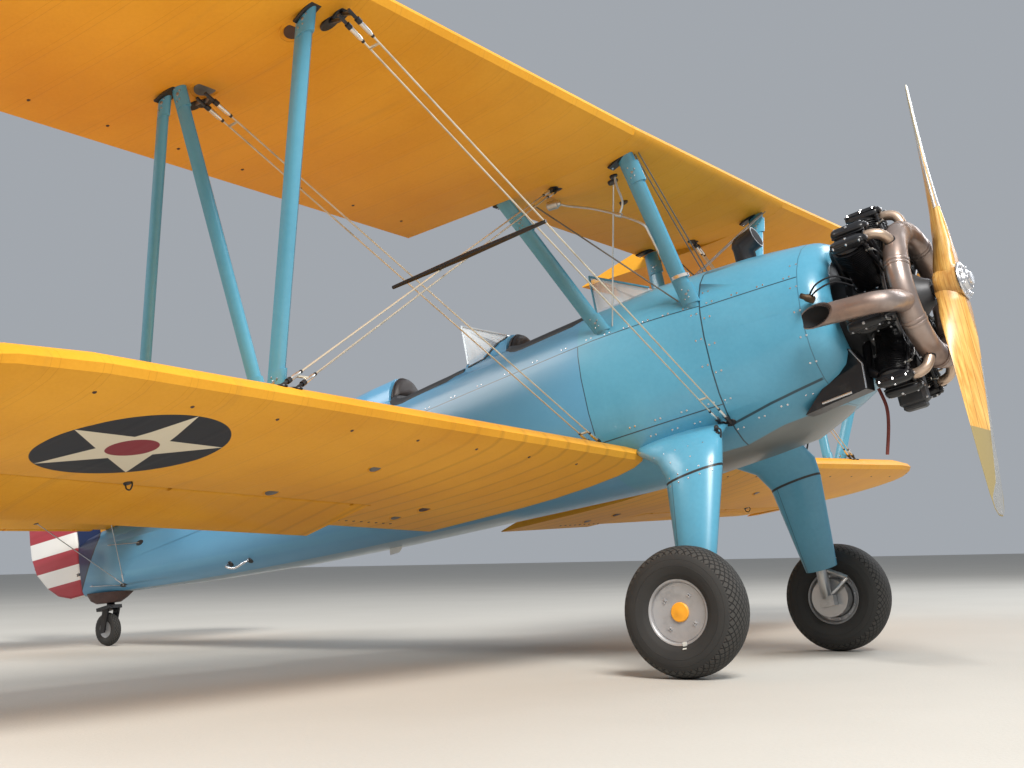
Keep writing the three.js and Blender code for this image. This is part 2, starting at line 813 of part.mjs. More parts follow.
function tailTyreSolid() {
  const half = tailTyre.width / 2;
  const crown = tailTyre.radius;
  const rim = tailRimRadius;
  const profile = [
    [-half * 0.8, rim],
    [-half, crown - 34],
    [-half * 0.7, crown - 9],
    [0, crown],
    [half * 0.7, crown - 9],
    [half, crown - 34],
    [half * 0.8, rim],
    [-half * 0.8, rim],
  ];
  return tyreSolid(profile, 28);
}

function tailHubSolid() {
  const half = 26;
  const rim = tailRimRadius - seatGap;
  const bore = 8.4;
  const profile = [
    [-half, bore],
    [-half, rim - 8],
    [-half - 2, rim],
    [half + 2, rim],
    [half, rim - 8],
    [half, bore],
    [-half, bore],
  ];
  return turnedAboutY(profile, 28);
}

// The tail wheel steers about an upright post just ahead of its axle.
const steerPost = { x: -6590, top: -60, radius: 30 };

function tailFork() {
  const { x, z } = tailAxle;
  const crownZ = z + tailTyre.radius + 28;
  const post = rod(
    new THREE.Vector3(steerPost.x, 0, crownZ - 12),
    new THREE.Vector3(steerPost.x, 0, steerPost.top),
    steerPost.radius,
    14,
  );
  const crown = box(150, 120, 26, [x + 40, 0, crownZ]);
  const blades = [1, -1].map((side) => loft([
    [x + 70, crownZ + 5, 34],
    [x - 10, z - 26, 24],
  ].map(([middle, height, half]) => [
    new THREE.Vector3(middle + half, side * 44, height),
    new THREE.Vector3(middle + half, side * 58, height),
    new THREE.Vector3(middle - half, side * 58, height),
    new THREE.Vector3(middle - half, side * 44, height),
  ])));
  const axle = rod(new THREE.Vector3(x, -58, z), new THREE.Vector3(x, 58, z), 8, 10);
  return joined(post, crown, ...blades, axle);
}

// Tail.

const finThickness = 56;
const rudderOutline = [
  [rudderHinge + finThickness / 2, -112],
  [-7000, -105],
  [-7160, -50],
  [-7275, 35],
  [-7385, 165],
  [-7425, 310],
  [-7422, 440],
  [-7405, 620],
  [-7340, 820],
  [-7220, 960],
  [-7060, 1030],
  [-6930, 1035],
  [rudderHinge + finThickness / 2, 1015],
];
const finRear = rudderHinge + finThickness / 2 + runningGap;
const finOutline = [
  [finRear, 200],
  [finRear, 1012],
  [-6700, 965],
  [-6500, 850],
  [-6280, 660],
  [-6050, 490],
  [-5850, 410],
  [-5770, 392],
  [-5770, 200],
];

const rudderHinges = { fuselage: 60, fin: [420, 880] };

// The same lug and notch, turned to stand on an upright hinge line.
function upright(piece, z) {
  return piece.rotate([90, 0, 0]).translate([rudderHinge, 0, z]);
}

function fin() {
  const reach = finThickness / 2 + runningGap + lugRoot;
  const lugs = rudderHinges.fin.map((z) => upright(hingeLug(reach), z));
  const blade = plate(finOutline, finThickness, 'upright')
    .subtract(fuselageSkin(seatGap))
    .subtract(tailplaneSlot());
  return joined(blade, ...lugs);
}

function rudder() {
  const notches = [rudderHinges.fuselage, ...rudderHinges.fin]
    .map((z) => upright(hingeNotch(finThickness / 2 + 4), z));
  return trimmedBy(plate(rudderOutline, finThickness, 'upright'), notches);
}

// The tail end carries the lowest rudder hinge and a socket for the tail wheel's post.
function fuselageTail() {
  const socket = rod(
    new THREE.Vector3(steerPost.x, 0, -400),
    new THREE.Vector3(steerPost.x, 0, steerPost.top + seatGap),
    steerPost.radius + 1.5,
    24,
  );
  const lugReach = sternpost - rudderHinge + lugRoot;
  return joined(
    fuselageBetween(midSplit, sternpost - 20),
    upright(hingeLug(lugReach), rudderHinges.fuselage),
  ).subtract(tailplaneSlot()).subtract(socket);
}

// Left half of the tailplane in plan, then its elevator: x and y of each corner.
const tailThickness = 58;
const tailplaneHalf = [
  [-5740, 0],
  [-5760, 300],
  [-5880, 800],
  [-6080, 1300],
  [-6280, 1580],
  [-6440, 1690],
  [elevatorHinge.x + tailThickness / 2 + runningGap, 1720],
];
const elevatorNose = elevatorHinge.x + tailThickness / 2;
const elevatorOutline = [
  [elevatorNose, 125],
  [elevatorNose, 1725],
  [-6700, 1700],
  [-6860, 1600],
  [-6990, 1380],
  [-7070, 1050],
  [-7100, 700],
  [-7080, 430],
  [-6960, 250],
  [-6760, 150],
];

function tailplane(grow = 0) {
  const rear = elevatorHinge.x + tailThickness / 2 + runningGap;
  const outline = [
    ...tailplaneHalf.map(([x, y]) => [x, y]),
    [rear, 1720],
    [rear, -1720],
    ...tailplaneHalf.slice(0, -1).reverse().map(([x, y]) => [x, -y]),
  ].filter(([x, y], i, list) => {
    const [px, py] = list[(i + 1) % list.length];
    return Math.hypot(x - px, y - py) > 1;
  });
  return plate(outline, tailThickness + 2 * grow, 'level').translate([0, 0, elevatorHinge.z]);
}

const elevatorHinges = [300, 900, 1500];

function tailplaneWithHinges() {
  const reach = tailThickness / 2 + runningGap + lugRoot;
  const lugs = [];
  for (const side of Object.values(sides)) {
    for (const y of elevatorHinges) {
      lugs.push(hingeLug(reach).translate([elevatorHinge.x, side * y, elevatorHinge.z]));
    }
  }
  return joined(tailplane(), ...lugs);
}

function tailplaneSlot() {
  return joined(
    tailplane(seatGap),
    tailplane(seatGap).translate([seatGap, 0, 0]),
    tailplane(seatGap).translate([-seatGap, 0, 0]),
  );
}

function elevator(side) {
  const outline = elevatorOutline.map(([x, y]) => [x, y * side]);
  const notches = elevatorHinges.map((y) => hingeNotch(tailThickness / 2 + 4)
    .translate([elevatorHinge.x, side * y, 0]));
  return trimmedBy(plate(outline, tailThickness, 'level'), notches)
    .translate([-elevatorHinge.x, 0, 0])
    .rotate([0, elevatorHinge.rest, 0])
    .translate([elevatorHinge.x, 0, elevatorHinge.z]);
}

// Engine: seven air-cooled cylinders round a crankcase. Heights are out from the shaft.
const cylinderCount = 7;
const cylinderX = -335;
const barrel = { foot: 185, core: 62, fins: 4, finRadius: 82, firstFin: 235, finEvery: 54 };
const head = { height: 462, radius: 92, sides: 10, crown: 498 };
const rocker = { size: [185, 58, 52], height: 500, apart: 52, splay: 16 };
const pushRod = { foot: [105, 130, 30], top: [80, 505, 62], radius: 10 };

function engineCylinder(index) {
  const profile = [[barrel.foot, 0], [barrel.foot, barrel.core + 4]];
  for (let i = 0; i < barrel.fins; i += 1) {
    const at = barrel.firstFin + i * barrel.finEvery;
    profile.push([at, barrel.core], [at + 8, barrel.finRadius]);
    profile.push([at + 34, barrel.finRadius], [at + 42, barrel.core]);
  }
  profile.push([head.height, head.radius], [head.crown - 6, head.radius - 8], [head.crown, 0]);
  const whole = turnedAboutY(profile, head.sides);
  const rockers = [-1, 1].map((side) => box(...rocker.size, [0, 0, 0])
    .rotate([0, 0, side * rocker.splay])
    .rotate([90, 0, 0])
    .translate([10, rocker.height, side * rocker.apart]));
  const rods = [-1, 1].map((side) => {
    const [from, to] = [pushRod.foot, pushRod.top]
      .map(([x, y, z]) => new THREE.Vector3(x, y, side * z));
    return rod(from, to, pushRod.radius, 6);
  });
  return joined(whole, ...rockers, ...rods)
    .rotate([90, 0, 0])
    .rotate([(index / cylinderCount) * 360, 0, 0])
    .translate([cylinderX, 0, 0]);
}

// The crankcase from the shaft end back to the mounting ring, as x and radius.
const crankcaseProfile = [
  [-bossHalf - seatGap, 0],
  [-bossHalf - seatGap, 30],
  [-84, 30],
  [-84, 62],
  [-120, 80],
  [-170, 128],
  [-215, 165],
  [-250, 200],
  [-440, 200],
  [-470, 235],
  [-545, 235],
  [-560, 200],
  [-574, 0],
];
const sump = { size: [150, 96, 360], at: [-330, 0, -365] };

function engineSolid() {
  const cylinders = [];
  for (let i = 0; i < cylinderCount; i += 1) {
    cylinders.push(engineCylinder(i));
  }
  return joined(turnedAboutX(crankcaseProfile, 28), ...cylinders, box(...sump.size, sump.at));
}

// The exhaust collector runs round in front of the cylinders, with a stub to each head and one
// tail pipe to starboard that ends in a slanting cut.
const collector = { x: -145, radius: 335, tube: 60 };
const stub = { bendX: -185, bendHeight: 440, radius: 24 };
const tailPipe = {
  root: new THREE.Vector3(-145, -335, -85),
  elbow: new THREE.Vector3(-168, -600, -112),
  mouth: new THREE.Vector3(-596, -622, -78),
  radius: 54,
  wall: 5,
  scarf: -25.5,
};

function exhaustStub(index) {
  const angle = (index / cylinderCount) * 2 * Math.PI;
  const out = new THREE.Vector3(0, -Math.sin(angle), Math.cos(angle));
  const at = (height, x) => out.clone().multiplyScalar(height).setX(x);
  const headFront = cylinderX + head.radius * Math.cos(Math.PI / head.sides) + seatGap;
  const bend = at(stub.bendHeight, stub.bendX);
  return joined(
    rod(at(collector.radius, collector.x), bend, stub.radius, 8),
    rod(bend, at(head.height, headFront), stub.radius, 8),
  );
}

function exhaustCollector() {
  const ring = new THREE.TorusGeometry(collector.radius, collector.tube, 8, 28);
  ring.rotateY(Math.PI / 2);
  ring.translate(collector.x, 0, 0);
  const stubs = [];
  for (let i = 0; i < cylinderCount; i += 1) {
    stubs.push(exhaustStub(i));
  }
  const { root, elbow, mouth, radius, wall } = tailPipe;
  const pipe = joined(
    rod(root, elbow, radius, 14),
    solidOf(new THREE.SphereGeometry(radius, 14, 8)).translate(elbow.toArray()),
    rod(elbow, mouth, radius, 14),
  );
  const boreFrom = elbow.clone().lerp(mouth, 0.35);
  const bore = rod(boreFrom, elbow.clone().lerp(mouth, 1.1), radius - wall, 14);
  const scarf = box(500, 200, 300, [0, 0, 0])
    .rotate([0, 0, tailPipe.scarf])
    .translate([mouth.x + 68, mouth.y - 105, mouth.z]);
  return joined(solidOf(outward(ring)), ...stubs, pipe).subtract(bore).subtract(scarf);
}

const scoop = {
  outer: -305,
  inner: -180,
  outline: [[-460, -440], [-445, -300], [-500, -215], [-805, -478]],
};

function airScoop() {
  const duct = loft([scoop.outer, scoop.inner]
    .map((y) => scoop.outline.map(([x, z]) => new THREE.Vector3(x, y, z))));
  return duct.subtract(fuselageSkin(seatGap));
}

const vent = {
  foot: new THREE.Vector3(-1038, 20, 420),
  knee: new THREE.Vector3(-1038, 20, 605),
  end: new THREE.Vector3(-945, 20, 628),
  radius: 60,
  collar: 64,
};

function ventPipe() {
  const whole = joined(
    rod(vent.foot, vent.knee, vent.radius, 14),
    solidOf(new THREE.SphereGeometry(vent.collar, 12, 8)).translate(vent.knee.toArray()),
    rod(vent.knee, vent.end, vent.collar, 14),
  );
  return whole.subtract(fuselageSkin(seatGap));
}

// Propeller: wooden, two blades in one piece. Radius, chord, thickness and pitch by station.
const bladeStations = [
  { r: 0, chord: 150, thick: 130, pitch: 60 },
  { r: 110, chord: 162, thick: 122, pitch: 52 },
  { r: 240, chord: 190, thick: 74, pitch: 40 },
  { r: 450, chord: 194, thick: 42, pitch: 27 },
  { r: 700, chord: 186, thick: 28, pitch: 19 },
  { r: 950, chord: 160, thick: 20, pitch: 14.5 },
  { r: 1140, chord: 120, thick: 13, pitch: 12 },
  { r: 1215, chord: 84, thick: 9, pitch: 11.5 },
  { r: propellerRadius, chord: 36, thick: 6, pitch: 11.5 },
];

function bladeRing({ r, chord, thick, pitch }) {
  const shares = [-0.5, -0.42, -0.2, 0.1, 0.36, 0.5];
  const swell = [0.08, 0.6, 1, 0.9, 0.45, 0.06];
  const angle = THREE.MathUtils.degToRad(pitch);
  const ring = [];
  const put = (i, side) => {
    const along = shares[i] * chord;
    const out = side * swell[i] * thick * 0.5;
    ring.push(new THREE.Vector3(
      -along * Math.sin(angle) + out * Math.cos(angle),
      along * Math.cos(angle) + out * Math.sin(angle),
      r,
    ));
  };
  for (let i = 0; i < shares.length; i += 1) {
    put(i, 1);
  }
  for (let i = shares.length - 1; i >= 0; i -= 1) {
    put(i, -1);
  }
  return ring;
}

function propellerSolid() {
  const blade = loft(bladeStations.map(bladeRing));
  const boss = rod(new THREE.Vector3(-bossHalf, 0, 0), new THREE.Vector3(bossHalf, 0, 0), 105, 24);
  return joined(blade, blade.rotate([180, 0, 0]), boss)
    .intersect(box(2 * bossHalf, 400, 2 * propellerRadius + 10, [0, 0, 0]))
    .rotate([-THREE.MathUtils.radToDeg(propellerTurn), 0, 0]);
}

function propellerHub() {
  const face = bossHalf + seatGap;
  return turnedAboutX([
    [face + 52, 0],
    [face + 52, 34],
    [face + 14, 40],
    [face + 14, 96],
    [face, 100],
    [face, 0],
  ], 24);
}

// Cockpit furniture.

function seat({ nose, tail, floor }) {
  const middle = tail + 250;
  const pan = box(340, 380, 30, [middle, 0, floor + 230]);
  const back = box(30, 340, 500, [middle - 170, 0, floor + 440]);
  const wings = [-1, 1].map((side) => box(330, 20, 180, [middle - 5, side * 180, floor + 300]));
  const pedestal = box(200, 200, 220, [middle, 0, floor + 110 + seatGap]);
  return joined(pan, back, ...wings, pedestal);
}

// A windshield is three thin panes: a raked one ahead and a triangle on each side. Its tip is
// where the raked pane leaves the deck, and its foot is the rear end of a side pane.
const windshields = {
  front: { tip: [-1580, 150, 518], top: [-1940, 150, 715], foot: [-1885, 262, 437] },
  rear: { tip: [-2632, 60, 588], top: [-2890, 150, 725], foot: [-2822, 260, 442] },
};

function windshield({ tip, top, foot }) {
  const pane = { thickness: 7, buried: 80 };
  const ringAt = (low, high) => {
    const half = [
      [low[0], low[1], low[2] - pane.buried],
      high,
      [high[0], high[1] - pane.thickness, high[2] - pane.thickness],
      [low[0], low[1] - pane.thickness, low[2] - pane.buried],
    ];
    const [lowOut, highOut, highIn, lowIn] = half.map((at) => new THREE.Vector3(...at));
    const mirrored = ({ x, y, z }) => new THREE.Vector3(x, -y, z);
    return [lowOut, highOut, mirrored(highOut), mirrored(lowOut),
      mirrored(lowIn), mirrored(highIn), highIn, lowIn];
  };
  return loft([ringAt(tip, tip), ringAt(foot, top)])
    .subtract(fuselageSkin(seatGap))
    .subtract(headrestFairing(headrestFairings.front, seatGap));
}

// A headrest pad stands on the deck against the front ring of its fairing and has its shape.
function headrestPad([{ x, width, top, base }]) {
  const rings = [
    { forward: seatGap, inset: 8 },
    { forward: 34, inset: 12 },
    { forward: 50, inset: 34 },
  ];
  return headrestFairing(rings.map(({ forward, inset }) => ({
    x: x + forward, width: width - inset, top: top - inset, base,
  }))).subtract(fuselageSkin(seatGap));
}

// Assembly.

const aircraft = new THREE.Group();

function add(name, shape, look, at = [0, 0, 0]) {
  const geometry = shape.isBufferGeometry ? shape : geometryOf(shape);
  const mesh = new THREE.Mesh(geometry, new THREE.MeshStandardMaterial(look));
  mesh.name = name;
  mesh.position.set(...at);
  aircraft.add(mesh);
}

add('nose_cowl', noseCowl(), paint.blue);
add('fuselage_middle', fuselageBetween(firewall, midSplit), paint.blue);
add('fuselage_aft', fuselageTail(), paint.blue);

add('centre_section', centreSection(), paint.yellow);
for (const [name, side] of Object.entries(sides)) {
  add(`upper_wing_${name}`, upperPanel(side), paint.yellow);
  add(`lower_wing_${name}`, lowerWing(side), paint.yellow);
  add(`aileron_${name}`, aileronSolid(side), paint.yellow);
  for (const place of Object.keys(cabaneStruts)) {
    add(`cabane_strut_${place}_${name}`, cabaneStrut(place, side), paint.blue);
  }
  for (const kind of Object.keys(strutRows)) {
    add(`interplane_strut_${kind}_${name}`, interplaneStrut(kind, side), paint.blue);
  }
  for (const kind of Object.keys(wirePairs)) {
    add(`${kind}_${name}`, wirePair(kind, side), paint.steel);
  }
  add(`wire_spreader_${name}`, wireSpreader(side), paint.black);
  add(`gear_leg_${name}`, gearLeg(side), paint.blue);
  add(`wheel_strut_${name}`, wheelStrut(side), paint.steel);
  const axleAt = [mainAxle.x, side * mainAxle.y, mainAxle.z];
  add(`tyre_${name}`, mainTyreSolid(), paint.rubber, axleAt);
  add(`wheel_${name}`, mainWheelSolid(side), paint.silver, axleAt);
  add(`elevator_${name}`, elevator(side), paint.yellow);
}

add('engine', engineSolid(), paint.iron);
add('exhaust_collector', exhaustCollector(), paint.burnt);
add('air_scoop', airScoop(), paint.black);
add('vent_pipe', ventPipe(), paint.black);
add('propeller', propellerSolid(), paint.wood);
add('propeller_hub', propellerHub(), paint.steel);

add('fin', fin(), paint.yellow);
add('rudder', rudder(), paint.red);
add('tailplane', tailplaneWithHinges(), paint.yellow);
add('tail_fork', tailFork(), paint.black);
add('tail_tyre', tailTyreSolid(), paint.rubber, [tailAxle.x, 0, tailAxle.z]);
add('tail_hub', tailHubSolid(), paint.silver, [tailAxle.x, 0, tailAxle.z]);

add('seat_front', seat(cockpits.front), paint.leather);
add('seat_rear', seat(cockpits.rear), paint.leather);
add('windshield_front', windshield(windshields.front), paint.glass);
add('windshield_rear', windshield(windshields.rear), paint.glass);
add('headrest_front', headrestPad(headrestFairings.front), paint.leather);
add('headrest_rear', headrestPad(headrestFairings.rear), paint.leather);

const hubHeight = mainTyre.radius
  - (mainAxle.x * Math.sin(pitch) + mainAxle.z * Math.cos(pitch));
const hubAheadOfOrigin = 3554.7; // puts the middle of the parked aircraft's box over the origin

aircraft.rotation.y = -pitch;
aircraft.position.set(hubAheadOfOrigin, 0, hubHeight);

const parked = new THREE.Group();
parked.add(aircraft);

export default parked;
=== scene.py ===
import json
import math

import bmesh
import bpy
from mathutils import Matrix, Vector
from mathutils.bvhtree import BVHTree


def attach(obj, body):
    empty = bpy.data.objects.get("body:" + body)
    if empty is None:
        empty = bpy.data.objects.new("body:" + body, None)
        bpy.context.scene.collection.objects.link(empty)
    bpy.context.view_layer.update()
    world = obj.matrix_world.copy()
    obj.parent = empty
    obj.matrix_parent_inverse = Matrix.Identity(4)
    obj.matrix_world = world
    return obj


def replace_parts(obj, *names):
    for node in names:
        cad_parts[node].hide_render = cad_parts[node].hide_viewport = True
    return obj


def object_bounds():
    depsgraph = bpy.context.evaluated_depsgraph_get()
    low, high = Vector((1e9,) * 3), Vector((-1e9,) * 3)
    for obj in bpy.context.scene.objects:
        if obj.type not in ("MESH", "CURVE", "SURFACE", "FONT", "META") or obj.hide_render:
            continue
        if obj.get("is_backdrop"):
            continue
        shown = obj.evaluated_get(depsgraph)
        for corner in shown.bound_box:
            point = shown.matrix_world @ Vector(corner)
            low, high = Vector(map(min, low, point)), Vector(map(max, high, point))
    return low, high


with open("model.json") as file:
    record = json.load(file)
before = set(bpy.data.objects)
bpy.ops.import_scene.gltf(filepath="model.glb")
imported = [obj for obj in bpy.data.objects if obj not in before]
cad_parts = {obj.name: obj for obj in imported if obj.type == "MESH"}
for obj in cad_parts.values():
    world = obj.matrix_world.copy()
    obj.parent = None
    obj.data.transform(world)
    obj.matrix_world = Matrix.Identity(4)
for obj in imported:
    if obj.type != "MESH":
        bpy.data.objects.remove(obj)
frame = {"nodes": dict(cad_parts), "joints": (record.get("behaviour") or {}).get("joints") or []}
cad_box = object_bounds()

# The aircraft stands nose-high on its wheels. Its own axes run forward along the propeller shaft,
# to port, and up. They start at the middle of the propeller, and every piece below is drawn in
# them and then set into the parked attitude.
shaft = next(j for j in frame["joints"] if j["name"] == "propeller_spin")
ahead = Vector(shaft["axis"]).normalized()
port = Vector((0, 1, 0))
upward = ahead.cross(port)
parked = Matrix.Translation(shaft["pos_m"]) @ Matrix((ahead, port, upward)).transposed().to_4x4()

# The camera stands low on the starboard side, ahead of the wing, and looks up a little at the
# fuselage. The lens and place are those of the photograph.
camera_at = Vector((5.60568, -7.0302, 0.59003))
camera_right = Vector((0.82630, 0.56283, -0.02154)).normalized()
camera_ahead = Vector((-0.55640, 0.82159, 0.12416)).normalized()
camera_up = camera_right.cross(camera_ahead)
camera = bpy.data.objects.new("camera", bpy.data.cameras.new("camera"))
camera.data.sensor_width = 36
camera.data.lens = 48.83
camera.data.clip_end = 500
turned = Matrix((camera_right, camera_up, -camera_ahead)).transposed().to_4x4()
camera.matrix_world = Matrix.Translation(camera_at) @ turned
bpy.context.scene.collection.objects.link(camera)
bpy.context.scene.camera = camera


# The floor is a pale, faintly mottled concrete slab. The wrapper below is how all the shaders
# are written: sums and products on it add Math nodes, and any other node is made by add().
class Shade:
    """One output socket in a material's node tree."""

    def __init__(self, tree, socket=None):
        self.tree = tree
        self.socket = socket

    def add(self, kind, settings=None, inputs=None, out=0):
        made = self.tree.nodes.new(kind)
        for name, value in (settings or {}).items():
            setattr(made, name, value)
        for name, value in (inputs or {}).items():
            if isinstance(value, Shade):
                self.tree.links.new(value.socket, made.inputs[name])
            else:
                made.inputs[name].default_value = value
        return Shade(self.tree, made.outputs[out])

    def maths(self, operation, *values):
        return self.add("ShaderNodeMath", {"operation": operation}, dict(enumerate(values)))

    def __add__(self, other):
        return self.maths("ADD", self, other)

    def __sub__(self, other):
        return self.maths("SUBTRACT", self, other)

    def __mul__(self, other):
        return self.maths("MULTIPLY", self, other)

    def __radd__(self, other):
        return self.maths("ADD", other, self)

    def __rsub__(self, other):
        return self.maths("SUBTRACT", other, self)

    def __abs__(self):
        return self.maths("ABSOLUTE", self)

    def __neg__(self):
        return self.maths("MULTIPLY", self, -1)

    def __or__(self, other):
        return self.maths("MAXIMUM", self, other)

    def __and__(self, other):
        return self.maths("MINIMUM", self, other)

    def hypot(self, other):
        """The distance from the origin of two coordinates."""
        square = self * self + other * other
        return square.maths("SQRT", square)

    def step(self, low, high):
        """0 below low, 1 above high and smooth between."""
        settings = {"interpolation_type": "SMOOTHSTEP"}
        inputs = {"Value": self, "From Min": low, "From Max": high}
        return self.add("ShaderNodeMapRange", settings, inputs)

    def line(self, place, width):
        """1 within half the width of a place along this coordinate, with a soft edge."""
        return 1 - abs(self - place).step(width * 0.35, width * 0.65)

    def every(self, pitch, start=0.0):
        """Distance to the nearest of a row of places that are a pitch apart."""
        return self.maths("PINGPONG", self - start, pitch / 2)

    def mixed(self, first, second):
        """The first colour where this is 0, the second where it is 1."""
        settings = {"data_type": "RGBA", "clamp_factor": True}
        made = self.add("ShaderNodeMix", settings, {0: self}, out=2)
        sockets = made.socket.node.inputs
        for socket, colour in ((sockets[6], first), (sockets[7], second)):
            if isinstance(colour, Shade):
                self.tree.links.new(colour.socket, socket)
            else:
                socket.default_value = (*colour, 1)
        return made

    def speckle(self, where, scale, detail=4.0, stretch=(1, 1, 1)):
        """Cloudy noise from 0 to 1."""
        scaled = where.add("ShaderNodeMapping", {}, {"Vector": where, "Scale": stretch})
        inputs = {"Vector": scaled, "Scale": scale, "Detail": detail, "Roughness": 0.55}
        return self.add("ShaderNodeTexNoise", {}, inputs)


def surface(name, roughness=0.5, metallic=0.0, **fixed):
    """A material, its tree with the aircraft's own axes, and the function that closes it."""
    material = bpy.data.materials.new(name)
    material.use_nodes = True
    tree = material.node_tree
    bsdf = next(n for n in tree.nodes if n.type == "BSDF_PRINCIPLED")
    bsdf.inputs["Roughness"].default_value = roughness
    bsdf.inputs["Metallic"].default_value = metallic
    for socket, value in fixed.items():
        bsdf.inputs[socket.replace("_", " ")].default_value = value
    start = Shade(tree)
    place = start.add("ShaderNodeTexCoord", out="Object")
    split = start.add("ShaderNodeSeparateXYZ", {}, {0: place})
    axes = [Shade(tree, split.socket.node.outputs[i]) for i in range(3)]

    def close(colour, rough=None, height=None, depth=0.001, metal=None, alpha=None):
        links = {"Base Color": colour, "Roughness": rough, "Metallic": metal, "Alpha": alpha}
        if height is not None:
            settings = {"Strength": 1.0, "Distance": depth, "Height": height}
            links["Normal"] = start.add("ShaderNodeBump", {}, settings)
        for socket, value in links.items():
            if isinstance(value, Shade):
                tree.links.new(value.socket, bsdf.inputs[socket])
            elif value is not None:
                wide = socket == "Base Color"
                bsdf.inputs[socket].default_value = (*value, 1) if wide else value
        return material

    return start, place, axes, close


def slab_finish():
    start, place, _, close = surface("pale_concrete", roughness=0.85)
    cloud = start.speckle(place, 0.6, detail=6)
    grain = start.speckle(place, 60, detail=3)
    colour = (cloud * 0.7 + grain * 0.3).mixed((0.43, 0.41, 0.37), (0.55, 0.53, 0.49))
    return close(colour, height=grain, depth=0.002)


floor_mesh = bpy.data.meshes.new("floor")
floor_reach = 120
floor_corners = [(-floor_reach, -floor_reach, 0), (floor_reach, -floor_reach, 0),
                 (floor_reach, floor_reach, 0), (-floor_reach, floor_reach, 0)]
floor_mesh.from_pydata(floor_corners, [], [(0, 1, 2, 3)])
floor_mesh.materials.append(slab_finish())
floor = bpy.data.objects.new("floor", floor_mesh)
bpy.context.scene.collection.objects.link(floor)
floor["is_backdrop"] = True

# The light is a pale even surround with one broad soft source high on the starboard bow, a
# weaker one astern and a cool one to port, as a photographer would place screens.
world = bpy.data.worlds.new("studio")
world.use_nodes = True
world.node_tree.nodes["Background"].inputs["Color"].default_value = (0.86, 0.92, 1.0, 1)
world.node_tree.nodes["Background"].inputs["Strength"].default_value = 0.42
bpy.context.scene.world = world
bpy.context.scene.view_settings.view_transform = "Standard"
screens = [
    {"name": "bow_screen", "at": (13, -11, 17), "size": 8, "power": 6800, "colour": (1, 0.97, 0.92)},
    {"name": "stern_screen", "at": (-14, -9, 12), "size": 9, "power": 1500, "colour": (1, 0.98, 0.95)},
    {"name": "port_screen", "at": (6, 14, 11), "size": 9, "power": 1300, "colour": (0.92, 0.96, 1)},
]
for screen in screens:
    lamp = bpy.data.lights.new(screen["name"], "AREA")
    lamp.size = screen["size"]
    lamp.energy = screen["power"]
    lamp.color = screen["colour"]
    holder = bpy.data.objects.new(screen["name"], lamp)
    holder.location = screen["at"]
    holder.rotation_euler = (Vector((0, 0, 1)) - holder.location).to_track_quat("-Z", "Y").to_euler()
    bpy.context.scene.collection.objects.link(holder)


# The fuselage is a steel-tube frame: sheet-metal panels cover it from the engine to the front
# cockpit, and doped fabric over stringers the rest. It is sprayed in sky-blue enamel, with the
# panels held by rows of small bright screws.
def set_into(name, mesh, finish, body, sharp=35):
    """An object drawn in the aircraft's axes, smooth except at edges sharper than the angle."""
    mesh.materials.clear()
    mesh.materials.append(finish)
    for face in mesh.polygons:
        face.use_smooth = True
    mesh.set_sharp_from_angle(angle=math.radians(sharp))
    made = bpy.data.objects.new(name, mesh)
    bpy.context.scene.collection.objects.link(made)
    made.matrix_world = parked
    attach(made, body)
    return made


skins = {}


def skin_of(node, finish, sharp=35, body="airframe"):
    """The CAD node's own shape with its facets joined, so that it takes light as one skin."""
    work = bmesh.new()
    work.from_mesh(frame["nodes"][node].data)
    bmesh.ops.remove_doubles(work, verts=work.verts, dist=2e-5)
    bmesh.ops.dissolve_limit(work, angle_limit=math.radians(0.8), verts=work.verts,
                             edges=work.edges)
    work.transform(parked.inverted())
    skins[node] = BVHTree.FromBMesh(work)
    mesh = bpy.data.meshes.new(node + "_skin")
    work.to_mesh(mesh)
    work.free()
    made = set_into(node + "_skin", mesh, finish, body, sharp)
    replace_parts(made, node)
    return made


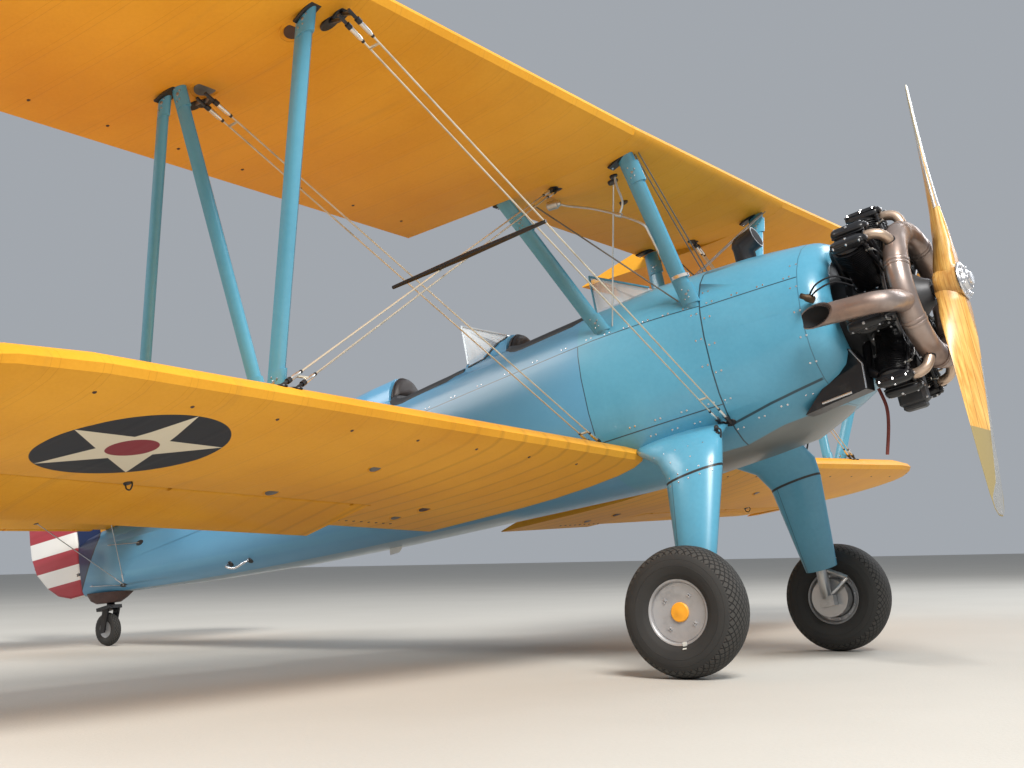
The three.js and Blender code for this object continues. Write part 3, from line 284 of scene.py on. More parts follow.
def enamel_finish(name, kind):
    start, place, (x, y, z), close = surface(name, roughness=0.3, Coat_Weight=0.3,
                                             Coat_Roughness=0.2)
    cloud = start.speckle(place, 2.2, detail=5)
    fine = start.speckle(place, 45, detail=3)
    tone = (cloud * 0.75 + fine * 0.25).step(0.25, 0.75)
    blue = tone.mixed((0.072, 0.285, 0.425), (0.098, 0.345, 0.50))
    rough = 0.24 + cloud * 0.12
    metal = None
    if kind == "leg":
        blue = (-z - 0.95).step(0, 0.35).mixed(blue, (0.07, 0.23, 0.33))
        band = (z + 0.668 - (x + 1.33) * 0.1).line(0, 0.013)
        rear_seam = (x + 1.425 - (z + 0.66) * 0.03).line(0, 0.004) * (1 - z.step(-0.68, -0.67))
        blue = (rear_seam * 0.8).mixed(blue, (0.01, 0.03, 0.04))
        blue = band.mixed(blue, (0.012, 0.012, 0.013))
        rough = rough + band * 0.3
    if kind == "panels":
        firewall, panel_end, side_bend, keel_start = -1.178, -1.955, -1.85, -3.75
        ahead = (x - side_bend) | 0
        astern = (x - side_bend) & 0
        # Aft of the metal panels the fabric is tinted bluer: a painted reflection of the sky.
        blue = ((1 - x.step(panel_end - 0.002, panel_end + 0.002)) * 0.6).mixed(blue, (0.095, 0.285, 0.50))
        side_line = (z - 0.256 + ahead * ahead * 0.06 - astern * 0.03).line(0, 0.006)
        flank = abs(y).step(0.2, 0.21)
        panels = 1 - x.step(firewall - 0.001, firewall + 0.001)
        forward = x.step(firewall, firewall + 0.006)
        lower_line = (z + 0.316).line(0, 0.006) * x.step(panel_end - 0.001, panel_end + 0.001)
        upright_line = x.line(panel_end, 0.006) * z.step(-0.317, -0.315)
        upright_line = upright_line * (1 - z.step(0.25, 0.256))
        slit = (z + 0.422 - (x + 1.177) * 0.172).line(0, 0.012)
        slit = slit * forward * (1 - x.step(-0.66, -0.64))
        cowl = forward * (1 - x.step(-0.63, -0.62))
        cowl_line = (z - 0.216 + (x + 1.129) * 0.03).line(0, 0.006) * cowl
        nose_seam = (x + 0.634 - (z + 0.04) * 0.037).line(0, 0.005)
        seam = (side_line * panels | lower_line * panels | upright_line | slit | cowl_line) * flank
        seam = seam | nose_seam * 0.6
        seam = seam | x.line(firewall, 0.008)
        blue = (seam * 0.85).mixed(blue, (0.008, 0.014, 0.018))
        dust = (-z - 0.32).step(0.0, 0.25) * cloud
        blue = (dust * 0.3).mixed(blue, (0.1, 0.12, 0.12))
        aft = -(x - keel_start)
        keel = z + 0.462 - aft * 0.0746 - aft * aft * 0.0105
        strip = (1 - keel.step(0.02, 0.024)) * (1 - x.step(-2.9, -2.7))
        blue = (strip * 0.7).mixed(blue, (0.30, 0.36, 0.37))
        # A faint lighter band low on the aft fuselage side is a painted highlight, standing in for a
        # crease at the lower longeron that catches the light.
        crease_highlight = (keel - 0.11 - aft * 0.01).line(0, 0.05) * (1 - x.step(-3.8, -3.7))
        blue = (crease_highlight * 0.12).mixed(blue, (0.20, 0.50, 0.62))
        well = (x.step(-2.545, -2.54) * (1 - x.step(-1.64, -1.635))
                | x.step(-3.475, -3.47) * (1 - x.step(-2.905, -2.9)))
        well = well * (1 - abs(y).step(0.2855, 0.287)) * z.step(-0.345, -0.34)
        well = well * (1 - z.step(0.37, 0.38))
        blue = well.mixed(blue, cloud.mixed((0.10, 0.13, 0.07), (0.15, 0.18, 0.10)))
        edge = 0.525 - ((x - firewall) | 0) * 0.16
        belly = (-z - edge).step(0, 0.006) * x.step(-1.48, -1.46) * (1 - x.step(-0.66, -0.65))
        blue = belly.mixed(blue, cloud.mixed((0.13, 0.145, 0.145), (0.24, 0.25, 0.24)))
        metal = belly * 0.7
        raked = x + 6.88 - ((z & 0.27) + 0.105) * 0.833
        tail = 1 - raked.step(-0.002, 0.002)
        blue = tail.mixed(blue, (0.008, 0.022, 0.085))
        blue = raked.line(0, 0.02).mixed(blue, (0.004, 0.004, 0.006))
        rough = rough + dust * 0.2
    return close(blue, rough=rough, height=fine, depth=0.00015, metal=metal)


enamel = enamel_finish("sky_blue_enamel", "plain")
leg_enamel = enamel_finish("sky_blue_leg", "leg")
panel_enamel = enamel_finish("sky_blue_panels", "panels")
for part in ("nose_cowl", "fuselage_middle", "fuselage_aft"):
    skin_of(part, panel_enamel)


# Screws hold the metal panels: small bright countersunk heads in pairs along every seam. All
# small parts are drawn with the class below, which gathers closed shapes into one mesh.
def angles(count, start=0.0):
    """Even steps of one turn. The start is a share of a step."""
    return [2 * math.pi * (i + start) / count for i in range(count)]


def circle(x, radius, count, start=0.0):
    """Points on a circle about the x axis."""
    return [Vector((x, radius * math.cos(a), radius * math.sin(a))) for a in angles(count, start)]


class Draft:
    """A mesh being drawn in the aircraft's axes, one closed shape after another."""

    def __init__(self):
        self.points = []
        self.faces = []

    def loft(self, rings, at=Matrix(), closed=False):
        """A skin over rings of the same number of points, capped unless the rings close."""
        first, count = len(self.points), len(rings[0])
        self.points += [at @ Vector(point) for ring in rings for point in ring]
        for r in range(len(rings) if closed else len(rings) - 1):
            low, high = first + r * count, first + (r + 1) % len(rings) * count
            for i in range(count):
                j = (i + 1) % count
                self.faces.append((low + i, low + j, high + j, high + i))
        if not closed:
            last = first + (len(rings) - 1) * count
            self.faces.append(tuple(range(first + count - 1, first - 1, -1)))
            self.faces.append(tuple(range(last, last + count)))

    def turned(self, profile, sides=32, at=Matrix(), closed=False):
        """A body of revolution about x, from pairs of x and radius."""
        self.loft([circle(x, r, sides, 0.5) for x, r in profile], at, closed)

    def pipe(self, path, radius, sides=12, closed=False, at=Matrix()):
        """A round pipe along a path. The radius may be a list, one for each point."""
        path = [Vector(point) for point in path]
        radii = radius if isinstance(radius, list) else [radius] * len(path)
        rings = []
        across = None
        for i, point in enumerate(path):
            before = path[i - 1] if i or closed else point
            after = path[(i + 1) % len(path)] if i < len(path) - 1 or closed else point
            along = (after - before).normalized()
            across = (along.orthogonal() if across is None else across - along * across.dot(along))
            across.normalize()
            side = along.cross(across)
            rings.append([point + radii[i] * (across * math.cos(a) + side * math.sin(a))
                          for a in angles(sides)])
        self.loft(rings, at, closed)

    def block(self, size, at=Matrix(), edge=0.12):
        """A box with its edges cut by a share of its thinnest side."""
        hx, hy, hz = (part / 2 for part in size)
        cut = edge * min(size)
        rings = []
        for z, inset in ((-hz, cut), (cut - hz, 0), (hz - cut, 0), (hz, cut)):
            a, b = hx - inset, hy - inset
            rings.append([(a - cut, -b, z), (a, cut - b, z), (a, b - cut, z), (a - cut, b, z),
                          (cut - a, b, z), (-a, b - cut, z), (-a, cut - b, z), (cut - a, -b, z)])
        self.loft(rings, at)

    def stud(self, point, direction, radius, height, sides=8):
        """A bolt or screw head that stands on a point and faces a direction."""
        self.turned([(-height, radius), (0.7 * height, radius), (height, 0.7 * radius)], sides,
                    facing(point, direction))

    def plate(self, at, half_x, half_y, height, sides=28):
        """An oval plate with a rounded rim, sunk a little into what carries it."""
        levels = ((-0.003, 1), (0.5 * height, 1), (height, 0.93), (1.05 * height, 0.5))
        self.loft([[(half_x * share * math.cos(a), half_y * share * math.sin(a), z)
                    for a in angles(sides, 0.5)] for z, share in levels], at)

    def made(self, name, finish, slot, body="airframe", sharp=35):
        mesh = bpy.data.meshes.new(name)
        work = bmesh.new()
        vertices = [work.verts.new(point) for point in self.points]
        for face in self.faces:
            work.faces.new([vertices[i] for i in face])
        bmesh.ops.recalc_face_normals(work, faces=work.faces)
        work.to_mesh(mesh)
        work.free()
        return set_into(name, mesh, finish, body, sharp)


def facing(point, direction):
    """A place whose x axis runs along the direction."""
    turn = Vector(direction).to_track_quat("X", "Z")
    return Matrix.Translation(point) @ turn.to_matrix().to_4x4()


def lying(point, normal):
    """A place on a surface: z stands up from it and x runs forward along it."""
    up = Vector(normal).normalized()
    across = up.cross(Vector((1, 0, 0))).normalized()
    turn = Matrix((across.cross(up), across, up)).transposed()
    return Matrix.Translation(point) @ turn.to_4x4()


def smooth(points, steps=6):
    """Points on a smooth curve through the given ones."""
    points = [Vector(point) for point in points]
    last = len(points) - 1
    path = []
    for i in range(last):
        a, b, c, d = (points[min(max(i + k, 0), last)] for k in (-1, 0, 1, 2))
        for step in range(steps):
            t = step / steps
            path.append(0.5 * (2 * b + (c - a) * t + (2 * a - 5 * b + 4 * c - d) * t * t
                               + (3 * b - a - 3 * c + d) * t ** 3))
    return path + [points[-1]]


def on_skin(nodes, start, direction):
    """Where a line from a point first meets the skins of some nodes, and the normal there."""
    found = []
    for node in nodes:
        hit, normal, _, far = skins[node].ray_cast(Vector(start), Vector(direction).normalized())
        if hit is not None:
            found.append((far, hit, normal))
    return min(found, key=lambda item: item[0])[1:] if found else (None, None)


def from_side(nodes, x, z, side):
    """Where a level line from starboard (-1) or port (1) first meets some nodes."""
    return on_skin(nodes, (x, side * 2, z), (0, -side, 0))


def from_below(nodes, x, y, start):
    """Where a line straight up first meets some nodes."""
    return on_skin(nodes, (x, y, start), (0, 0, 1))


def from_above(nodes, x, y, start=1):
    """Where a line straight down first meets some nodes."""
    return on_skin(nodes, (x, y, start), (0, 0, -1))


def steel_finish(name, tint, roughness, metallic=0.9, stain=0.5):
    start, place, _, close = surface(name, roughness=roughness, metallic=metallic)
    brush = start.speckle(place, 30, detail=6, stretch=(1, 8, 1))
    grime = start.speckle(place, 9, detail=5).step(0.45, 0.75)
    dark = tuple(0.4 * part for part in tint)
    return close((grime * stain).mixed(tint, dark), rough=roughness + grime * 0.25, height=brush,
                 depth=0.0002)


bright_steel = steel_finish("polished_steel", (0.68, 0.68, 0.70), 0.22, stain=0.3)
body_nodes = ("nose_cowl", "fuselage_middle", "fuselage_aft")
screw_rows = [
    {"from": (-1.26, 0.245), "to": (-1.88, 0.275), "count": 6},
    {"from": (-2.05, 0.27), "to": (-3.5, 0.22), "count": 8},
    {"from": (-1.24, -0.295), "to": (-1.72, -0.285), "count": 4},
    {"from": (-1.21, -0.10), "to": (-1.215, 0.19), "count": 3},
    {"from": (-1.22, -0.37), "to": (-1.62, -0.36), "count": 4},
    {"from": (-1.145, -0.30), "to": (-1.14, 0.30), "count": 5},
    {"from": (-0.655, -0.25), "to": (-0.645, 0.28), "count": 5},
    {"from": (-1.12, 0.232), "to": (-0.68, 0.216), "count": 4},
    {"from": (-1.15, -0.45), "to": (-0.75, -0.385), "count": 4},
]
screws = Draft()
for row in screw_rows:
    for i in range(row["count"]):
        share = i / (row["count"] - 1)
        for shift in (-0.016, 0.016):
            x = row["from"][0] + share * (row["to"][0] - row["from"][0]) + shift
            z = row["from"][1] + share * (row["to"][1] - row["from"][1])
            for side in (-1, 1):
                at, normal = from_side(body_nodes, x, z, side)
                if at is not None:
                    screws.stud(at, normal, 0.0055, 0.002)
screws.made("panel_screws", bright_steel, "bare_metal")


# The wings are wooden spars and ribs under doped fabric in orange yellow. Each rib shows as a
# soft ridge under a pinked tape, and the cloth sags a little between the ribs. Under the
# starboard lower wing a white star with a red middle is painted on a dark blue disc.
def fabric_finish(name, marking):
    start, place, (x, y, z), close = surface(name, roughness=0.42, Coat_Weight=0.06,
                                             Coat_Roughness=0.4, Specular_IOR_Level=0.22)
    rib_pitch = 0.19
    rib = y.every(rib_pitch)
    ridge = 1 - rib.step(0.003, 0.03)
    cloud = start.speckle(place, 1.3, detail=6)
    fine = start.speckle(place, 70, detail=3)
    yellow = (cloud * 0.8 + fine * 0.2).step(0.2, 0.8).mixed((0.70, 0.30, 0.014), (0.86, 0.42, 0.035))
    yellow = (rib.line(0.016, 0.003) * 0.25).mixed(yellow, (0.45, 0.16, 0.006))
    # Near the root of the lower wings the rib lines are painted darker: painted shade of the cloth
    # rippling between the ribs.
    root_rib_shade = (1 - abs(y).step(1.5, 2.5)) * (1 - z.step(0.2, 0.25))
    yellow = ((1 - rib.step(0.0, 0.022)) * root_rib_shade * 0.28).mixed(yellow, (0.30, 0.13, 0.02))
    streak = start.speckle(place, 3, detail=5, stretch=(0.3, 2.5, 1)).step(0.58, 0.8)
    yellow = (streak * 0.22).mixed(yellow, (0.34, 0.17, 0.05))
    if marking == "band":
        band = 1 - (x + 6.5676).step(-0.002, 0.002)
        yellow = band.mixed(yellow, (0.008, 0.022, 0.085))
    if marking == "star":
        disc = {"x": -2.288, "y": -3.44, "radius": 0.378}
        run, across = x - disc["x"], y - disc["y"]
        reach = run.hypot(across)
        fold = run.maths("ARCTAN2", across, run).every(math.radians(72))
        star_edge = reach * fold.maths("COSINE", fold - math.radians(72))
        under = (1 - z.step(-0.30, -0.29)) * (1 - (reach - disc["radius"]).step(-0.0015, 0.0015))
        star = 1 - (star_edge - 0.309 * disc["radius"]).step(-0.0015, 0.0015)
        middle = 1 - (reach - 0.275 * disc["radius"]).step(-0.0015, 0.0015)
        navy = cloud.mixed((0.014, 0.018, 0.026), (0.026, 0.03, 0.04))
        emblem = star.mixed(navy, (0.72, 0.66, 0.52))
        emblem = middle.mixed(emblem, (0.24, 0.03, 0.045))
        yellow = under.mixed(yellow, emblem)
    height = ridge + fine * 0.15
    return close(yellow, rough=0.48 + cloud * 0.16, height=height, depth=0.0008)


fabric = fabric_finish("yellow_doped_fabric", "plain")
marked_fabric = fabric_finish("yellow_marked_fabric", "star")
fin_fabric = fabric_finish("yellow_fin_fabric", "band")
for part in ("centre_section", "upper_wing_left", "upper_wing_right", "lower_wing_left",
             "tailplane"):
    skin_of(part, fabric)
skin_of("fin", fin_fabric)
skin_of("lower_wing_right", marked_fabric)
for part, body in (("aileron_left", "aileron_left"), ("aileron_right", "aileron_right"),
                   ("elevator_left", "elevators"), ("elevator_right", "elevators")):
    skin_of(part, fabric, body=body)


# The rudder is fabric over a steel frame, painted in level red and white stripes. It hangs on
# lugs that stand in notches of its front edge.
def rudder_finish():
    start, place, (x, y, z), close = surface("striped_fabric", roughness=0.45, Coat_Weight=0.2)
    cloud = start.speckle(place, 4, detail=5)
    stripe_width = 0.123
    lowest_edge = 0.035
    stripe = (z + x * 0.04 + 0.29).every(stripe_width * 2, lowest_edge - stripe_width / 2)
    stripe = stripe.step(stripe_width / 2 - 0.002, stripe_width / 2 + 0.002)
    colour = stripe.mixed((0.38, 0.022, 0.04), (0.84, 0.84, 0.82))
    colour = (cloud * 0.08).mixed(colour, (0.3, 0.26, 0.22))
    rib = 1 - z.every(0.24).step(0.004, 0.03)
    return close(colour, rough=0.4 + cloud * 0.15, height=rib, depth=0.002)


striped = rudder_finish()
skin_of("rudder", striped, body="rudder")

# The struts are streamlined steel tubes in the same blue, the cabane struts short and the
# interplane struts an N on each side.
for side in ("left", "right"):
    for part in ("cabane_strut_front", "cabane_strut_rear", "interplane_strut_front",
                 "interplane_strut_rear", "interplane_strut_slanting"):
        skin_of(f"{part}_{side}", enamel, sharp=50)
    skin_of(f"gear_leg_{side}", leg_enamel, sharp=50)
leg_screws, brake_fittings = Draft(), Draft()
for side, name in ((-1, "right"), (1, "left")):
    leg = (f"gear_leg_{name}",)
    spots = [(x, z + 0.1 * (x + 1.33)) for z in (-0.648, -0.69)
             for x in (-1.20, -1.26, -1.32, -1.38, -1.44)]
    spots += [(-1.24 - 0.075 * i, -0.52) for i in range(6)] + [(-1.3, -0.58), (-1.42, -0.58)]
    spots += [(-1.33, -1.14), (-1.26, -1.13), (-1.40, -1.15)]
    for x, z in spots:
        at, normal = from_side(leg, x, z, side)
        if at is not None:
            leg_screws.stud(at, normal, 0.0045, 0.002)
    at, normal = from_side(leg + ("fuselage_middle",), -1.195, -0.47, side)
    for drop in (0.02, -0.012, -0.045):
        brake_fittings.stud(at + Vector((0, 0, drop)), normal, 0.012, 0.014, 8)
    hose_path = [at + Vector((run, side * out, rise))
                 for run, out, rise in ((0, 0.01, 0.02), (0.03, 0.02, 0), (0.012, 0.01, -0.05))]
    brake_fittings.pipe(smooth(hose_path), 0.005, 8)
leg_screws.made("leg_screws", bright_steel, "bare_metal")
brake_fittings.made("brake_fittings", steel_finish("fitting_black", (0.02, 0.02, 0.021), 0.45,
                                                   metallic=0.0, stain=0.2), "black_fittings")

# Bare metal: the polished stay wires and the sliding tubes of the legs. They are brushed, with a
# little grime in the low places.
stay_steel = steel_finish("stay_wire_steel", (0.62, 0.56, 0.44), 0.4, metallic=0.5)
bare_steel = steel_finish("bare_steel", (0.50, 0.50, 0.50), 0.32)
for side in ("left", "right"):
    for part in ("flying_wires_front", "flying_wires_rear", "landing_wires"):
        skin_of(f"{part}_{side}", stay_steel)
    skin_of(f"wheel_strut_{side}", bare_steel)


# Black fittings: the javelin bars that part the wires, the air scoop under the engine, the
# breather pipe on the cowl and the tail wheel's fork, in semi-gloss black.
def black_finish(name, roughness):
    start, place, _, close = surface(name, roughness=roughness)
    wear = start.speckle(place, 14, detail=6).step(0.55, 0.8)
    fine = start.speckle(place, 120, detail=3)
    return close((wear * 0.35).mixed((0.012, 0.012, 0.014), (0.09, 0.085, 0.08)),
                 rough=roughness - 0.04 + wear * 0.25, height=fine, depth=0.0003)


black = black_finish("semi_gloss_black", 0.4)
for part in ("wire_spreader_left", "wire_spreader_right", "air_scoop", "vent_pipe"):
    skin_of(part, black, sharp=45)
skin_of("tail_fork", black, body="tail_steering")
# The open mouth of the breather pipe is a flat matt black disc: painted shade for the dark inside of the
# pipe.
vent_mouth_shade = Draft()
mouth_at = lying((-0.9455, 0.02, 0.6279), (0.971, 0, 0.24))
vent_mouth_shade.plate(mouth_at, 0.056, 0.056, 0.0015, 36)
vent_mouth_shade.made("vent_pipe_mouth_shade", black_finish("painted_mouth_shade", 0.95), "black_fittings")
vent_collar, vent_rivets = Draft(), Draft()
foot_at, foot_normal = from_above(body_nodes, -1.12, 0.02, 0.9)
collar_at = lying(foot_at + Vector((0.082, 0, -0.006)), foot_normal)
vent_collar.plate(collar_at, 0.088, 0.088, 0.004, 40)
for a in angles(12):
    spot = collar_at @ Vector((0.078 * math.cos(a), 0.078 * math.sin(a), 0.003))
    vent_rivets.stud(spot, foot_normal, 0.0035, 0.002)
vent_collar.made("vent_collar", steel_finish("collar_alloy", (0.5, 0.52, 0.52), 0.4), "bare_metal")
vent_rivets.made("vent_collar_rivets", bright_steel, "bare_metal")

# Strut fittings: every strut ends in a riveted sleeve and a bolt through its fork, and at the top all but
# the slanting struts stand on a black plate under the wing. The front cabane struts have a bright clamp
# lower down.
struts = [
    {"foot": (-1.219, 0.417, 0.236), "top": (-1.211, 0.812, 1.010), "chord": 0.096, "thick": 0.042,
     "plate": (-1.244, 0.81, 0.17), "clamp": 0.2},
    {"foot": (-1.778, 0.408, 0.269), "top": (-1.964, 0.812, 1.000), "chord": 0.096, "thick": 0.042,
     "plate": (-1.98, 0.81, 0.18), "clamp": None},
    {"foot": (-1.922, 3.02, -0.349), "top": (-1.233, 3.212, 1.131), "chord": 0.092, "thick": 0.04,
     "plate": (-1.235, 3.205, 0.17), "clamp": None},
    {"foot": (-2.737, 3.02, -0.349), "top": (-2.043, 3.212, 1.131), "chord": 0.068, "thick": 0.032,
     "plate": (-2.02, 3.205, 0.19), "clamp": None},
    {"foot": (-1.97, 3.02, -0.349), "top": (-1.989, 3.212, 1.131), "chord": 0.072, "thick": 0.034,
     "plate": None, "clamp": None},
]
wing_nodes = ("centre_section", "upper_wing_left", "upper_wing_right")
low_nodes = ("lower_wing_left", "lower_wing_right")
sleeves, plates, rivets_on_struts, clamps = Draft(), Draft(), Draft(), Draft()


def strut_ring(strut, side, share, proud):
    """An oval round a strut at a share of its length from the foot."""
    low, high = (Vector(strut[end]) * Vector((1, side, 1)) for end in ("foot", "top"))
    centre = low.lerp(high, share)
    reach, half = 0.5 * strut["chord"] + proud, 0.5 * strut["thick"] * 1.06 + proud
    return [centre + Vector((reach * math.cos(a), half * math.sin(a), 0)) for a in angles(24)]


def strut_band(draft, strut, side, start, end, edge, proud):
    """A band round a strut between two shares of its length, lower at its edges."""
    levels = ((start, edge), (start, proud), (end, proud), (end, edge))
    draft.loft([strut_ring(strut, side, share, out) for share, out in levels])


rivet_spots = ((-0.2, 0.25), (0.05, 0.3), (0.2, 0.6), (-0.15, 0.75), (0.0, 0.5))
bolt_spot = (0.0, 0.5)
for strut in struts:
    long = (Vector(strut["top"]) - Vector(strut["foot"])).length
    for side in (-1, 1):
        for start, end in ((0.03, 0.03 + 0.11 / long), (0.97 - 0.11 / long, 0.97)):
            if start < 0.5 and strut["foot"][2] < 0:
                start, end = 0.05, 0.05 + 0.09 / long
            strut_band(sleeves, strut, side, start, end, 0.0002, 0.001)
            for run, rise in rivet_spots:
                centre = Vector(strut["foot"]).lerp(Vector(strut["top"]), start + rise * (end - start))
                for face in (-1, 1):
                    at = centre + Vector((run * strut["chord"], 0, 0))
                    at.y += face * (0.47 * strut["thick"] + 0.001)
                    radius = 0.0085 if (run, rise) == bolt_spot else 0.0042
                    rivets_on_struts.stud(at * Vector((1, side, 1)), (0, face * side, 0), radius, 0.004)
        if strut["clamp"]:
            strut_band(clamps, strut, side, strut["clamp"], strut["clamp"] + 0.02, 0.001, 0.004)
        if strut["plate"]:
            x, y, length = strut["plate"]
            at, normal = from_below(wing_nodes, x, side * y, 0.8)
            if at is not None:
                plates.block((length, 0.062, 0.012), lying(at, normal), 0.3)
                for end in (-0.42, 0.42):
                    spot = lying(at, normal) @ Vector((end * length, 0, 0.006))
                    clamps.stud(spot, normal, 0.007, 0.004, 6)
sleeves.made("strut_sleeves", enamel, "blue_paint")
plates.made("strut_plates", black, "black_fittings")
rivets_on_struts.made("strut_rivets", steel_finish("dull_steel", (0.42, 0.44, 0.45), 0.3), "bare_metal")
clamps.made("strut_clamps", bright_steel, "bare_metal")

# Stay ends: each stay is screwed into a bright barrel and a black fork. The forks of a pair come
# out of two overlapping oval plates under the upper wing, and of a slotted plate below.
stay_pairs = [
    {"foot": (-1.205, 0.47, -0.368), "top": (-1.112, 3.15, 0.985), "foot_run": (0.05, 0, 0),
     "top_run": (0.05, 0, 0), "ovals": ((-1.258, 3.076), (-1.198, 3.075)), "oval": 0.05},
    {"foot": (-1.917, 0.5, -0.345), "top": (-1.9, 3.15, 0.985), "foot_run": (0.05, 0, 0),
     "top_run": (0.05, 0, 0), "ovals": ((-2.055, 3.049), (-2.011, 3.034)), "oval": 0.045},
    {"foot": (-1.795, 3.093, -0.3), "top": (-1.663, 0.778, 1.043), "foot_run": (0, 0.09, 0),
     "top_run": (0, 0.04, 0), "oval": 0.034},
]
forks, barrels, ovals = Draft(), Draft(), Draft()
for pair in stay_pairs:
    for side in (-1, 1):
        mirror = Vector((1, side, 1))
        for half in (-0.5, 0.5):
            low = (Vector(pair["foot"]) + half * Vector(pair["foot_run"])) * mirror
            high = (Vector(pair["top"]) + half * Vector(pair["top_run"])) * mirror
            along = (high - low).normalized()
            ends = ((low + along * 0.35, -along, low_nodes + ("fuselage_middle",)),
                    (high - along * 0.25, along, wing_nodes))
            for start, direction, nodes in ends:
                at, normal = on_skin(nodes, start, direction)
                back = -direction
                if nodes == wing_nodes and "ovals" in pair:
                    x, y = pair["ovals"][0 if half < 0 else 1]
                    plate_at, normal = from_below(nodes, x, side * y, 0.8)
                    ovals.plate(lying(plate_at, normal), pair["oval"], 0.6 * pair["oval"], 0.006)
                    at = high + along * 0.02
                    forks.pipe([plate_at, at + back * 0.012], 0.008, 8)
                elif at is None:
                    continue
                forks.pipe([at - back * 0.01, at + back * 0.05], 0.0075, 8)
                forks.turned([(0.04, 0.001), (0.04, 0.012), (0.062, 0.012), (0.062, 0.001)], 12,
                             facing(at, back))
                barrels.pipe([at + back * reach for reach in (0.058, 0.068, 0.118, 0.132)],
                             [0.006, 0.0095, 0.0095, 0.006], 10)
                forks.pipe([at + back * 0.132, at + back * 0.142], 0.0075, 6)
                if nodes != wing_nodes or "ovals" not in pair:
                    ovals.plate(lying(at, normal), 0.03, 0.02, 0.005)
forks.made("stay_forks", black, "black_fittings")
barrels.made("stay_barrels", steel_finish("barrel_steel", (0.78, 0.76, 0.72), 0.25), "bare_metal")
ovals.made("stay_cover_plates", black, "black_fittings")

# Access covers and grommets: grey discs in a raised ring beside each strut, oval plates and a
# tie-down ring under the lower wing, and small dark drain eyelets along every trailing edge.
covers = [
    {"x": -1.92, "y": 3.12, "radius": 0.05, "nodes": wing_nodes, "from": 0.7, "tone": "grey"},
    {"x": -1.373, "y": 3.151, "radius": 0.05, "nodes": wing_nodes, "from": 0.7, "tone": "brown"},
    {"x": -2.688, "y": 2.277, "radius": 0.035, "nodes": low_nodes, "from": -0.8, "tone": "grey"},
    {"x": -2.754, "y": 1.044, "radius": 0.035, "nodes": low_nodes, "from": -0.8, "tone": "brown"},
    {"x": -2.975, "y": 1.023, "radius": 0.03, "nodes": low_nodes, "from": -0.8, "tone": "grey"},
    {"x": -2.2, "y": 2.1, "radius": 0.03, "nodes": low_nodes, "from": -0.8, "tone": "grey"},
]
grey_discs, brown_discs, disc_rings, eyelets, tie_downs = Draft(), Draft(), Draft(), Draft(), Draft()
for cover in covers:
    for side in (-1, 1):
        at, normal = from_below(cover["nodes"], cover["x"], side * cover["y"], cover["from"])
        if at is None:
            continue
        discs = grey_discs if cover["tone"] == "grey" else brown_discs
        discs.plate(lying(at, normal), cover["radius"], cover["radius"], 0.0025, 36)
        ring_at = lying(at, normal)
        disc_rings.pipe([ring_at @ Vector((1.35 * cover["radius"] * math.cos(a),
                                           1.35 * cover["radius"] * math.sin(a), 0))
                         for a in angles(36)], 0.002, 6, closed=True)
for nodes, start, x, first, last in ((wing_nodes, 0.7, -2.44, 1.2, 4.4),
                                     (low_nodes, -0.8, -3.12, 0.9, 1.4),
                                     (low_nodes, -0.8, -1.85, 0.9, 4.4)):
    for i in range(9):
        y = first + (last - first) * i / 8
        for side in (-1, 1):
            at, normal = from_below(nodes, x, side * y, start)
            if at is not None:
                eyelets.plate(lying(at, normal), 0.008, 0.008, 0.002, 12)
for side in (-1, 1):
    at, normal = from_below(low_nodes, -2.738, side * 3.084, -0.8)
    loop = lying(at, normal)
    tie_downs.plate(loop, 0.026, 0.018, 0.004)
    tie_downs.pipe(smooth([loop @ Vector((-0.018, 0, 0)), loop @ Vector((-0.02, 0, 0.02)),
                           loop @ Vector((0, 0, 0.034)), loop @ Vector((0.02, 0, 0.02)),
                           loop @ Vector((0.018, 0, 0))]), 0.0035, 8)
brown_plate = steel_finish("brown_cover", (0.06, 0.028, 0.024), 0.5, metallic=0.0)
grey_discs.made("access_covers", steel_finish("grey_cover", (0.16, 0.16, 0.16), 0.5, metallic=0.3),
                "bare_metal")
brown_discs.made("drain_covers", brown_plate, "bare_metal")
disc_rings.made("cover_rings", fabric, "yellow_fabric")
eyelets.made("drain_eyelets", brown_plate, "black_fittings")
tie_downs.made("tie_down_rings", black, "black_fittings")

# Fuel and brace lines: bright pipes drop from the tank in the centre section, past a strainer, to
# the fuselage side, with a gauge rod beside them and crossed stays between the cabane struts.
lines, stays, pods = Draft(), Draft(), Draft()
lines.pipe(smooth([(-1.755, -0.668, 1.0), (-1.728, -0.62, 0.985), (-1.575, -0.63, 0.906),
                   (-1.42, -0.64, 0.806), (-1.286, -0.66, 0.698), (-1.268, -0.64, 0.633),
                   (-1.275, -0.55, 0.52), (-1.282, -0.44, 0.395)]), 0.0065, 10)
lines.pipe(smooth([(-1.42, -0.64, 0.806), (-1.377, -0.65, 0.863), (-1.38, -0.67, 0.971),
                   (-1.366, -0.68, 1.05)]), 0.0065, 10)
lines.turned([(-0.018, 0.001), (-0.018, 0.013), (0.018, 0.013), (0.018, 0.001)], 12,
             facing((-1.42, -0.64, 0.806), (0.85, 0, -0.55)))
lines.turned([(-0.03, 0.001), (-0.03, 0.012), (-0.022, 0.026), (0.03, 0.026), (0.036, 0.018),
              (0.05, 0.016), (0.052, 0.001)], 20, facing((-1.785, -0.685, 0.995), (1, 0.35, 0)))
lines.pipe([(-1.416, -0.596, 1.06), (-1.72, -0.42, 0.30)], 0.0045, 8)
for side in (-1, 1):
    stays.pipe([(-1.832, side * 0.8, 0.99), (-1.30, side * 0.415, 0.30)], 0.0045, 8)
    for shift in (-0.012, 0.012):
        stays.pipe([(-1.16 + shift, side * 0.8, 1.02), (-1.34 + shift, side * -0.28, 0.4)], 0.0035, 8)
